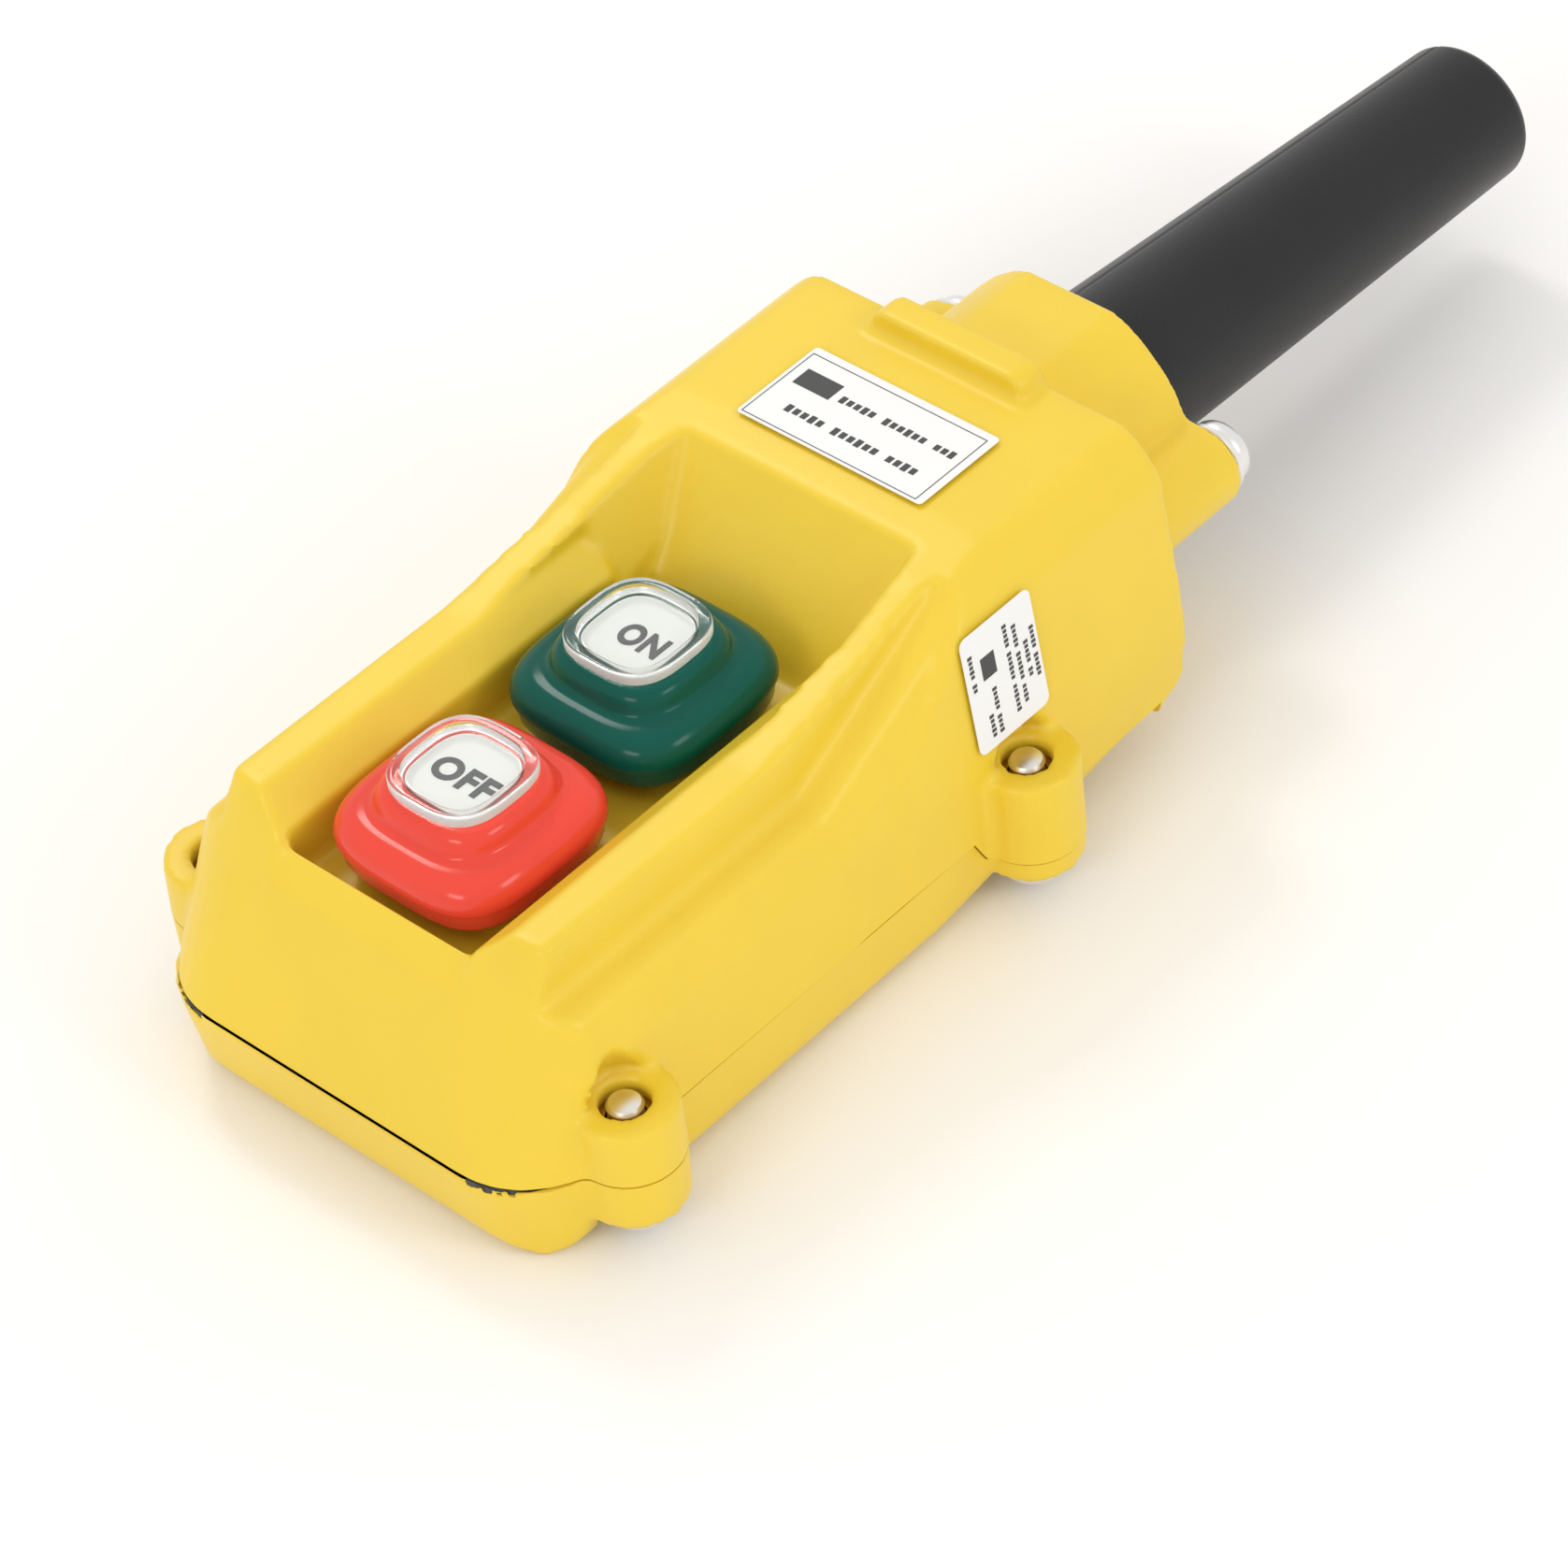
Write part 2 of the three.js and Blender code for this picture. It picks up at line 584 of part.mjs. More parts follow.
// ---------- labels ----------
const labelThickness = 0.3;

function addLabels() {
  const top = extrusion(rectangle(15.85, 8, 0.8), labelThickness);
  place("top_label", top, white, 0, rear - 20.7, headTop + gap);
  // the side label lies on the leaning wall of the head
  const low = new THREE.Vector2(headWaist, waistHeight);
  const high = new THREE.Vector2(headBrow, headTop - browDrop);
  const centre = low.clone().lerp(high, 0.55);
  const tilt = Math.atan2(low.x - high.x, high.y - low.y);
  const side = extrusion(rectangle(9.2, 6.8, 1.2), labelThickness);
  side.rotateY(Math.PI / 2 - tilt);
  const off = gap + labelThickness / 2;
  place("side_label", side, white, centre.x + off * Math.cos(tilt), wellEnd + 14.8,
    centre.y + off * Math.sin(tilt));
}

// ---------- cable collar and boot ----------
const washerThickness = 1;
const washerRadius = 5.4;
const pocketDepth = 8;

function cableCollar() {
  const body = common(toSolid(along(collarRadius, 0, collarLength, 36).translate(0, 0, cableHeight)),
    toSolid(block(-wide, wide, -1, collarLength + 1, collarBottom, collarTop)));
  const bar = block(-earOffset, earOffset, 0, collarLength, cableHeight - earRadius,
    cableHeight + earRadius);
  const ears = [-1, 1].map((side) => toSolid(
    along(earRadius, 0, collarLength, 20).translate(side * earOffset, 0, cableHeight)));
  const screwHoles = [-1, 1].map((side) => toSolid(
    along(collarHole, -1, collarLength + 1, 14).translate(side * earOffset, 0, cableHeight)));
  const bore = along(bootRadius + bootClearance, -1, collarLength + 1).translate(0, 0, cableHeight);
  const pocket = along(flangeRadius + bootClearance, -1, pocketDepth).translate(0, 0, cableHeight);
  return cut(join(body, toSolid(bar), ...ears), toSolid(bore), toSolid(pocket), ...screwHoles);
}

// the boot is straight inside the collar and droops beyond it
function droop(geometry) {
  const position = geometry.attributes.position;
  for (let i = 0; i < position.count; i++) {
    const beyond = Math.max(0, position.getY(i) - collarLength);
    position.setZ(i, position.getZ(i) - bootDroop * beyond);
  }
  return geometry;
}

function cableBoot() {
  const flangeStart = pocketDepth - gap - flangeThickness;
  const end = collarLength + bootLength;
  const wallOut = (y) => bootRadius + (bootTip - bootRadius) * (y - collarLength) / bootLength;
  const profile = [[bootBore, flangeStart], [bootBore, collarLength], [bootBore, end - 2.5],
    [bootBore + 0.5, end - 0.6], [bootTip - 1.6, end], [bootTip - 0.4, end - 0.9], [bootTip, end - 2.6],
    [wallOut(end - 30), end - 30], [bootRadius, collarLength], [bootRadius, flangeStart + flangeThickness],
    [flangeRadius, flangeStart + flangeThickness], [flangeRadius, flangeStart], [bootBore, flangeStart]];
  const points = profile.map(([radius, y]) => new THREE.Vector2(radius, y)).reverse();
  const geometry = mergeVertices(new THREE.LatheGeometry(points, 28).deleteAttribute("uv"));
  return toSolid(droop(geometry));
}

function addCableEnd() {
  const end = new THREE.Group();
  end.position.y = rear + gap;
  station.add(end);
  place("cable_collar", cableCollar(), yellow, 0, 0, 0, end);
  place("cable_boot", cableBoot(), black, 0, 0, cableHeight, end);
  const clampRing = ring(bootBore + 0.6, flangeRadius, pocketDepth - flangeThickness - 3 * gap, 24);
  const ringMesh = place("boot_clamp_ring", clampRing, steel, 0, 0.1, cableHeight, end);
  ringMesh.rotation.x = -Math.PI / 2;
  for (const [side, word] of [[-1, "left"], [1, "right"]]) {
    const seat = collarLength + gap;
    const washer = place(`collar_washer_${word}`, ring(collarHole, washerRadius, washerThickness), steel,
      side * earOffset, seat, cableHeight, end);
    washer.rotation.x = -Math.PI / 2;
    const length = seat + washerThickness + gap + rearWall + 4;
    const screw = panScrew(collarScrew, length);
    const mesh = place(`collar_screw_${word}`, screw, steel, side * earOffset,
      seat + washerThickness + gap, cableHeight, end);
    mesh.rotation.x = Math.PI / 2;
  }
}

// ---------- cable clamp in the head ----------
function addCableClamp() {
  const half = clampX + 4.5;
  const bar = toSolid(block(-half, half, -4, 4, -clampBarThickness, 0));
  const groove = toSolid(along(6, -9, 9, 20).translate(0, 0, cableHeight - clampBarTop));
  const holes = [-1, 1].map((side) => toSolid(upright(innerHole, innerHole, -9, 9, 12)
    .translate(side * clampX, 0, 0)));
  place("cable_clamp", cut(bar, groove, ...holes), moulding, 0, clampY, clampBarTop);
  for (const [side, word] of [[-1, "left"], [1, "right"]]) {
    const screw = panScrew(innerScrew, 13, 12);
    place(`clamp_screw_${word}`, screw, steel, side * clampX, clampY,
      clampBarTop - clampBarThickness - gap);
  }
}

// ---------- buttons ----------
const ceiling = buttonWaist - 2.1; // inside a cap
const legendCorner = 4;
const legendThickness = 0.5;
const legendPocket = 1; // depth of its recess in a cap
const lensRim = 2.1; // width of the lens's raised rim
const lensRecess = 0.8;
const plungerRadius = 6.7; // of the flange under the cap
const sealRadius = 4.9;
const sealHeight = 2;
const springRadius = 5.7;
const springTurns = 3.5;
const flangeTop = ceiling - gap;
const plungerFlange = 1.5;
const bridgeTop = 22.4;
const bridgeThickness = 1.2;

// a rounded square block whose top edge is rounded
function cushion(size, corner, height, edge, steps = 5) {
  const half = size / 2 - edge;
  const shape = outline(rectangle(half, half, corner - edge), steps);
  return new THREE.ExtrudeGeometry(shape, { depth: height - 2 * edge, bevelEnabled: true,
    bevelThickness: edge, bevelSize: edge, bevelSegments: 3 }).translate(0, 0, edge);
}

function buttonCap() {
  const skirt = toSolid(cushion(buttonSize, buttonCorner, buttonWaist - buttonSkirt + 2.4, 2.6));
  const trimmed = common(skirt.translate([0, 0, buttonSkirt - 2.4]),
    toSolid(block(-wide, wide, -wide, wide, buttonSkirt, tall)));
  const stage = toSolid(cushion(stageSize, lensCorner + 1.5, buttonTop - buttonWaist + 4, 1.6));
  const hollow = toSolid(extrusion(rectangle(buttonSize / 2 - capWall, buttonSize / 2 - capWall,
    buttonCorner - capWall), ceiling - buttonSkirt + 1));
  const pocketHalf = legendSize / 2 + gap;
  const pocket = toSolid(extrusion(rectangle(pocketHalf, pocketHalf, legendCorner), 5));
  return cut(join(trimmed, stage.translate([0, 0, buttonWaist - 4])),
    hollow.translate([0, 0, buttonSkirt - 1]), pocket.translate([0, 0, buttonTop - legendPocket]));
}

function lens() {
  const body = toSolid(cushion(lensSize, lensCorner, lensHeight, 0.4));
  const half = lensSize / 2 - lensRim;
  const recess = toSolid(extrusion(rectangle(half, half, lensCorner - 1.6), 3));
  return cut(body, recess.translate([0, 0, lensHeight - lensRecess]));
}

function plunger() {
  const tipHeight = bridgeTop + gap;
  return turned([[0, tipHeight], [stemRadius - 0.5, tipHeight], [stemRadius, tipHeight + 0.6],
    [stemRadius, flangeTop - plungerFlange], [plungerRadius, flangeTop - plungerFlange],
    [plungerRadius, flangeTop], [0, flangeTop]], 16);
}

const springFoot = wellFloor + gap;
const springTop = flangeTop - plungerFlange - gap;
const wire = 0.45; // radius

class Coil extends THREE.Curve {
  constructor(radius, from, to, turns) {
    super();
    Object.assign(this, { radius, from, to, turns });
  }

  getPoint(t, target = new THREE.Vector3()) {
    const angle = 2 * Math.PI * this.turns * t;
    return target.set(this.radius * Math.cos(angle), this.radius * Math.sin(angle),
      this.from + (this.to - this.from) * t);
  }
}

function spring() {
  const path = new Coil(springRadius, springFoot + wire, springTop - wire, springTurns);
  const section = outline(rectangle(wire, wire, wire / 2), 1);
  return new THREE.ExtrudeGeometry(section, { steps: 42, extrudePath: path, bevelEnabled: false });
}

function addButtons() {
  // the off contacts rest closed under their blades' tops, the on contacts stand open by the travel
  const closedBlade = bridgeTop + gap + bladeThickness;
  const openBlade = bridgeTop - bridgeThickness - travel - gap;
  const kinds = [["off", red, closedBlade], ["on", green, openBlade]];
  kinds.forEach(([word, colour, bladeTop], i) => {
    const y = buttonY[i];
    place(`${word}_button_cap`, buttonCap(), colour, 0, y, 0);
    place(`${word}_lens`, lens(), clear, 0, y, buttonTop + gap);
    const card = extrusion(rectangle(legendSize / 2, legendSize / 2, legendCorner), legendThickness);
    place(`${word}_legend`, card, white, 0, y, buttonTop - legendPocket + gap);
    place(`${word}_plunger`, plunger(), moulding, 0, y, 0);
    place(`${word}_spring`, spring(), steel, 0, y, 0);
    const seal = ring(stemRadius + stemClearance, sealRadius, sealHeight);
    place(`${word}_shaft_seal`, seal, sealGrey, 0, y, wellFloor + gap);
    addContacts(word, y, bladeTop);
  });
}

// ---------- contact blocks ----------
const blockHalf = 17; // across X, above the ledges
const blockHalfLength = 11; // along Y
const ledgeHalf = 25;
const chamberHalf = 12.5;
const bladeThickness = 1;
const bladeHalfWidth = 3;
const bladeStart = 7.5; // inner end of a blade, from the middle
const bridgeHalf = 11.5;
const bridgeHalfWidth = 2.5;
const terminalX = 21;

function addContacts(word, y, bladeTop) {
  const bladeBottom = bladeTop - bladeThickness;
  const ledge = bladeBottom - gap;
  const body = toSolid(lengthwise(mirrored([[ledgeHalf, blockBottom], [ledgeHalf, ledge],
    [blockHalf, ledge], [blockHalf, blockTop]]), -blockHalfLength, blockHalfLength));
  const chamberLow = Math.min(ledge, bridgeTop - bridgeThickness - travel) - 0.4;
  const room = toSolid(block(-chamberHalf, chamberHalf, -20, 20, chamberLow, blockTop - 4));
  const stemHole = stemRadius + stemClearance;
  const bore = toSolid(upright(stemHole, stemHole, blockTop - 6, blockTop + 1, 16));
  const slots = toSolid(block(-blockHalf - 1, blockHalf + 1, -bladeHalfWidth - gap, bladeHalfWidth + gap,
    bladeBottom - gap, bladeTop + gap));
  const hole = terminalScrew.shank + screwClearance;
  const screwHoles = [-1, 1].map((side) => toSolid(upright(hole, hole, blockBottom - 1, ledge + 1, 12)
    .translate(side * terminalX, 0, 0)));
  place(`${word}_contact_block`, cut(body, room, bore, slots, ...screwHoles), moulding, 0, y, 0);
  const bridge = block(-bridgeHalf, bridgeHalf, -bridgeHalfWidth, bridgeHalfWidth,
    bridgeTop - bridgeThickness, bridgeTop);
  place(`${word}_contact_bridge`, bridge, brass, 0, y, 0);
  for (const [side, hand] of [[-1, "left"], [1, "right"]]) {
    const near = side * bladeStart;
    const far = side * (ledgeHalf - 0.5);
    const blade = cut(toSolid(block(Math.min(near, far), Math.max(near, far), -bladeHalfWidth,
      bladeHalfWidth, bladeBottom, bladeTop)),
    toSolid(upright(hole, hole, 0, tall, 12).translate(side * terminalX, 0, 0)));
    place(`${word}_terminal_${hand}`, blade, brass, 0, y, 0);
    const screw = panScrew(terminalScrew, 5, 12);
    const mesh = place(`${word}_terminal_screw_${hand}`, screw, steel, side * terminalX, y,
      bladeTop + gap);
    mesh.rotation.x = Math.PI;
  }
}

function addContactStrap() {
  const thickness = 1.5;
  const top = blockBottom - gap;
  const plate = toSolid(extrusion(rectangle(14, (buttonPitch + 2 * blockHalfLength) / 2 - 1, 3),
    thickness).translate(0, bossY, top - thickness));
  const holes = [-1, 1].map((side) => toSolid(upright(innerHole, innerHole, 0, tall, 12)
    .translate(side * bossX, bossY, 0)));
  place("contact_strap", cut(plate, ...holes), steel);
  for (const [side, word] of [[-1, "left"], [1, "right"]]) {
    const screw = panScrew(innerScrew, 10, 12);
    place(`strap_screw_${word}`, screw, steel, side * bossX, bossY, top - thickness - gap);
  }
}

// ---------- the whole station ----------
addCaseParts();
addLabels();
addCableEnd();
addCableClamp();
addButtons();
addContactStrap();

// the origin goes under the middle of the object
station.position.y = -(endFace + tip + gap) / 2;

export default station;
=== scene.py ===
# %% [markdown]
# # A two-button pendant control station
#
# This lesson dresses a finished design in its real surfaces. The station is a yellow moulded
# case in two shells, two push buttons under clear windows, a clamped collar and a black rubber
# boot for the cable. The design is loaded as a fixed frame: it says where every piece is, and
# nothing here moves it. Each step says what the piece is, how it could be made in Blender, and
# why it is made this way.

# %% Load the frame
import math

import bmesh
import bpy
from mathutils import Matrix, Vector


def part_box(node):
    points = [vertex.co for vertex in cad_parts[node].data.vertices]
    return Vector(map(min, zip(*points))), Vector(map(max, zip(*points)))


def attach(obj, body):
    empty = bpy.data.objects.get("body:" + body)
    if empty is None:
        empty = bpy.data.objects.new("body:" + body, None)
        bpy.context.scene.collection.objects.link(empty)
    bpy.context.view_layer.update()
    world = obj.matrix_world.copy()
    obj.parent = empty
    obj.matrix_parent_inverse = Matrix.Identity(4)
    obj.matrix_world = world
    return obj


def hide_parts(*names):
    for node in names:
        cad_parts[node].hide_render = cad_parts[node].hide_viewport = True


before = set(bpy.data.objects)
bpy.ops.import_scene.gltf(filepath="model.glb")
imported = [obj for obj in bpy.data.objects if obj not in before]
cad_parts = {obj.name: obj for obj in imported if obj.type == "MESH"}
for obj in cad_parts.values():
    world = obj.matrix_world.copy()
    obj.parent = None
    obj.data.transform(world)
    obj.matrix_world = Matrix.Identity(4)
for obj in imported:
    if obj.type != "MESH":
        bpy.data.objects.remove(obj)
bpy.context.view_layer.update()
MM = 0.001
scene = bpy.context.scene

# %% [markdown]
# ## The camera
#
# A studio picture of a small product is taken from a little way off with a long lens, so that
# its edges stay nearly parallel. A camera can be aimed by hand or by a constraint. Here it is
# built from three angles, azimuth, elevation and roll, because they can be read and changed one
# at a time. The roll leans the picture a few degrees, as a hand-held camera does.

# %% Camera
camera_place = Vector((0.4211, -0.4403, 0.5541))
camera_azimuth = math.radians(45.95)
camera_elevation = math.radians(43.21)
camera_roll = math.radians(-6.23)

back = Vector((
    math.sin(camera_azimuth) * math.cos(camera_elevation),
    -math.cos(camera_azimuth) * math.cos(camera_elevation),
    math.sin(camera_elevation),
))
aim = (-back).to_track_quat("-Z", "Y").to_matrix().to_4x4()
camera_data = bpy.data.cameras.new("studio_camera")
camera_data.lens = 138.7
camera_data.sensor_width = 36
camera = bpy.data.objects.new("studio_camera", camera_data)
camera.matrix_world = Matrix.Translation(camera_place) @ aim @ Matrix.Rotation(camera_roll, 4, "Z")
scene.collection.objects.link(camera)
scene.camera = camera
print("camera", [round(v, 3) for v in camera_place], "lens", camera_data.lens)

# %% [markdown]
# ## Light and floor
#
# The station lies on a white sweep that is lit until it is almost pure white. A bright even
# world does most of that, and it could be the only light, but then nothing would shine. So three
# small panels are added: one high up on the left casts the soft shadow and draws a short streak
# on each glossy corner, one in front opens up the near end, and one on the right lifts the side.

# %% Studio
def area_light(name, place, target, size, power, colour=(1, 1, 1)):
    light = bpy.data.lights.new(name, "AREA")
    light.shape = "RECTANGLE"
    light.size, light.size_y = size
    light.energy = power
    light.color = colour
    lamp = bpy.data.objects.new(name, light)
    direction = Vector(target) - Vector(place)
    turn = direction.to_track_quat("-Z", "Y").to_matrix().to_4x4()
    lamp.matrix_world = Matrix.Translation(place) @ turn
    scene.collection.objects.link(lamp)


area_light("key_above", (-0.7, 0.3, 0.95), (0, 0, 0), (0.28, 0.28), 2.2, (1, 0.985, 0.96))
area_light("front_fill", (0.25, -1.2, 0.75), (0, -0.05, 0), (0.5, 0.3), 2.6, (1, 0.99, 0.98))
area_light("side_fill", (1.2, 0.2, 0.8), (0, 0, 0), (0.4, 0.4), 2.4)

world = bpy.data.worlds.new("studio_world")
scene.world = world
world.use_nodes = True
world.node_tree.nodes["Background"].inputs["Color"].default_value = (1, 0.995, 0.985, 1)
world.node_tree.nodes["Background"].inputs["Strength"].default_value = 0.92
scene.view_settings.view_transform = "Standard"

# %% [markdown]
# ## Finishes
#
# Every finish is a Principled shader with a little noise in its colour, its roughness and its
# bump, all read from Object coordinates, so that the grain stays on the piece as it moves. One
# helper lays down that common ground, and each finish then says only what is its own: the size
# of its grain, how deep it is and how glossy the surface is.

# %% Finish helper
def finish(name, colour, rough, grain=900, depth=0.00002, tint=0.04, rough_spread=0.05, **sockets):
    """A Principled material with fine grain: colour, roughness and bump vary by noise."""
    material = bpy.data.materials.new(name)
    material.use_nodes = True
    tree = material.node_tree
    shader = tree.nodes["Principled BSDF"]
    for socket, value in sockets.items():
        shader.inputs[socket.replace("_", " ")].default_value = value
    place = tree.nodes.new("ShaderNodeTexCoord")
    fine = tree.nodes.new("ShaderNodeTexNoise")
    fine.inputs["Scale"].default_value = grain
    fine.inputs["Detail"].default_value = 3
    broad = tree.nodes.new("ShaderNodeTexNoise")
    broad.inputs["Scale"].default_value = grain / 30
    broad.inputs["Detail"].default_value = 4
    for noise in (fine, broad):
        tree.links.new(place.outputs["Object"], noise.inputs["Vector"])
    ramp = tree.nodes.new("ShaderNodeValToRGB")
    dark = [c * (1 - tint) for c in colour]
    light = [min(1, c * (1 + tint)) for c in colour]
    ramp.color_ramp.elements[0].position = 0.3
    ramp.color_ramp.elements[1].position = 0.7
    ramp.color_ramp.elements[0].color = (*dark, 1)
    ramp.color_ramp.elements[1].color = (*light, 1)
    tree.links.new(broad.outputs["Fac"], ramp.inputs["Fac"])
    tree.links.new(ramp.outputs["Color"], shader.inputs["Base Color"])
    gloss = tree.nodes.new("ShaderNodeMapRange")
    gloss.inputs["To Min"].default_value = max(0.02, rough - rough_spread)
    gloss.inputs["To Max"].default_value = min(1, rough + rough_spread)
    tree.links.new(broad.outputs["Fac"], gloss.inputs["Value"])
    tree.links.new(gloss.outputs["Result"], shader.inputs["Roughness"])
    bump = tree.nodes.new("ShaderNodeBump")
    bump.inputs["Strength"].default_value = 0.6
    bump.inputs["Distance"].default_value = depth
    tree.links.new(fine.outputs["Fac"], bump.inputs["Height"])
    tree.links.new(bump.outputs["Normal"], shader.inputs["Normal"])
    return material


# %% [markdown]
# The case is moulded in a spark-eroded tool, which leaves a fine even grain that scatters the
# highlights. The button caps are polished, so they get a low roughness and almost no bump.
# Rubber is matt with a slight bloom. The metals are bright nickel and brass. Paper labels are
# smooth and white.

# %% Finishes
case_yellow = finish("case_yellow", (0.82, 0.58, 0.035), 0.38, grain=2200, depth=0.00003, tint=0.02)
cap_red = finish("cap_red", (0.80, 0.062, 0.036), 0.15, grain=600, depth=0.000006, tint=0.05,
                 Specular_IOR_Level=0.32)
cap_green = finish("cap_green", (0.0, 0.085, 0.06), 0.15, grain=600, depth=0.000006, tint=0.05,
                   Specular_IOR_Level=0.2)
boot_rubber = finish("boot_rubber", (0.010, 0.010, 0.011), 0.38, grain=1500, depth=0.00004, tint=0.15,
                     Specular_IOR_Level=0.34)
seal_rubber = finish("seal_rubber", (0.06, 0.06, 0.06), 0.7, grain=1200, depth=0.00004)
bright_steel = finish("bright_steel", (0.82, 0.81, 0.79), 0.32, grain=700, depth=0.00001, Metallic=1.0)
brass_metal = finish("brass_metal", (0.72, 0.48, 0.18), 0.3, grain=700, depth=0.00001, Metallic=1.0)
dark_moulding = finish("dark_moulding", (0.03, 0.032, 0.036), 0.5, grain=1500)
legend_white = finish("legend_white", (0.80, 0.80, 0.77), 0.4, grain=900, tint=0.01)
label_paper = finish("label_paper", (0.85, 0.85, 0.84), 0.38, grain=900, tint=0.01)
print_grey = finish("print_grey", (0.055, 0.055, 0.055), 0.6, grain=900)
print("finishes", len(bpy.data.materials))

# %% [markdown]
# The windows are clear acrylic. Rays from the lamps pass straight through it, so that the white
# legend under it stays bright, while the eye still sees it bend and mirror what is around.

# %% Clear acrylic
def clear_acrylic():
    material = bpy.data.materials.new("clear_acrylic")
    material.use_nodes = True
    tree = material.node_tree
    shader = tree.nodes["Principled BSDF"]
    shader.inputs["Base Color"].default_value = (0.97, 0.99, 0.98, 1)
    shader.inputs["Transmission Weight"].default_value = 1
    shader.inputs["IOR"].default_value = 1.49
    place = tree.nodes.new("ShaderNodeTexCoord")
    haze = tree.nodes.new("ShaderNodeTexNoise")
    haze.inputs["Scale"].default_value = 300
    tree.links.new(place.outputs["Object"], haze.inputs["Vector"])
    gloss = tree.nodes.new("ShaderNodeMapRange")
    gloss.inputs["To Min"].default_value = 0.02
    gloss.inputs["To Max"].default_value = 0.09
    tree.links.new(haze.outputs["Fac"], gloss.inputs["Value"])
    tree.links.new(gloss.outputs["Result"], shader.inputs["Roughness"])
    ray = tree.nodes.new("ShaderNodeLightPath")
    through = tree.nodes.new("ShaderNodeBsdfTransparent")
    mix = tree.nodes.new("ShaderNodeMixShader")
    tree.links.new(ray.outputs["Is Shadow Ray"], mix.inputs["Fac"])
    tree.links.new(shader.outputs["BSDF"], mix.inputs[1])
    tree.links.new(through.outputs["BSDF"], mix.inputs[2])
    tree.links.new(mix.outputs["Shader"], tree.nodes["Material Output"].inputs["Surface"])
    return material


acrylic = clear_acrylic()
# the window's outer wall gets a whitish finish: painted light, a pale colour standing in for light bent
# through the clear wall
edge_painted_light = finish("edge_painted_light", (0.88, 0.9, 0.89), 0.4, grain=900, tint=0.02,
                      Transmission_Weight=0.45)
print("window finishes", acrylic.name, edge_painted_light.name)

# %% [markdown]
# ## The floor
#
# The floor is one large plane at height zero, where the station lies. It has a faint warm tint,
# which shows only where the case keeps the light off it. It belongs to the studio and not to the
# product, so it is set apart as staging.

# %% Floor
def as_object(name, bm):
    """Turns a bmesh into an object in the scene, and frees the bmesh."""
    mesh = bpy.data.meshes.new(name)
    bm.to_mesh(mesh)
    bm.free()
    made = bpy.data.objects.new(name, mesh)
    scene.collection.objects.link(made)
    return made


FLOOR_REACH = 4
sweep = bmesh.new()
bmesh.ops.create_grid(sweep, x_segments=1, y_segments=1, size=FLOOR_REACH)
floor = as_object("floor", sweep)
floor.data.materials.append(finish("floor_white", (0.93, 0.915, 0.90), 0.9, grain=60, tint=0.005))
print("floor", 2 * FLOOR_REACH, "m wide")

# %% [markdown]
# ## Making a piece
#
# Two helpers serve every new piece. `piece` turns a finished bmesh into an object, shades it
# smooth with sharp edges kept where the surface turns quickly, and ties it to its body. `hold`
# keeps a design node as it is and only gives it a finish.

# %% Piece helpers
def piece(name, bm, material, body, stands_for=(), sharp=40):
    """A new piece on a body; edges that turn by more than sharp degrees stay crisp."""
    made = as_object(name, bm)
    mesh = made.data
    mesh.materials.append(material)
    mesh.shade_smooth()
    mesh.set_sharp_from_angle(angle=math.radians(sharp))
    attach(made, body)
    if stands_for:
        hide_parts(*stands_for)
    print(name, len(mesh.polygons), "faces")
    return made


def hold(node, material):
    """Gives a design node its finish, and leaves its shape and place alone."""
    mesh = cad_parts[node].data
    mesh.materials.clear()
    mesh.materials.append(material)


# %% [markdown]
# ## The two shells and the collar
#
# The front casing, the rear cover and the collar are moulded in one shot each: walls about
# 3 mm thick, every outside edge rounded and every inside corner filleted by the tool. Bevels
# would have to be set edge by edge on a shape that was cut from many solids. A voxel remesh
# instead wraps the whole design shape in an even skin, and a few rounds of smoothing melt its
# edges into radii, as in a mould. The design node's own copy is merged first, because it comes
# as loose triangles. The joint between the shells has to stay crisp, so each shell is first
# made a little too long there, and its skin is trimmed to the joint afterwards.

# %% Moulded shells
JOINT_GAP = 0.3 * MM
MERGE = 0.005 * MM
SKIN_TRIANGLES = 185000


def bake(made):
    """Applies an object's modifiers to its mesh."""
    graph = bpy.context.evaluated_depsgraph_get()
    done = bpy.data.meshes.new_from_object(made.evaluated_get(graph))
    made.modifiers.clear()
    made.data = done


def merged_copy(node):
    """A copy of a design node with the corners of its loose triangles joined up."""
    bm = bmesh.new()
    bm.from_mesh(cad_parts[node].data)
    bmesh.ops.remove_doubles(bm, verts=bm.verts, dist=MERGE)
    return bm


def add_skin(shell, voxel, rounds):
    """Wraps a shape in an even skin, and melts its edges by rounds of smoothing."""
    skin = shell.modifiers.new("skin", "REMESH")
    skin.mode = "VOXEL"
    skin.voxel_size = voxel
    melt = shell.modifiers.new("melt", "SMOOTH")
    melt.factor = 0.5
    melt.iterations = rounds
    bake(shell)


def thin_out(shell):
    """Keeps a skin under a number of triangles, and shades it."""
    count = sum(len(face.vertices) - 2 for face in shell.data.polygons)
    if count > SKIN_TRIANGLES:
        shell.modifiers.new("thin", "DECIMATE").ratio = SKIN_TRIANGLES / count
        bake(shell)
    shell.data.shade_smooth()
    shell.data.set_sharp_from_angle(angle=math.radians(50))
    print(shell.name, "skin of", len(shell.data.polygons), "faces")


# %% [markdown]
# The joint runs level along the case, steps down between the buttons and the far lugs, and
# then runs level again. A trimming tool is one long block whose edge has that same step: the
# profile is a few corners, swept across the case.

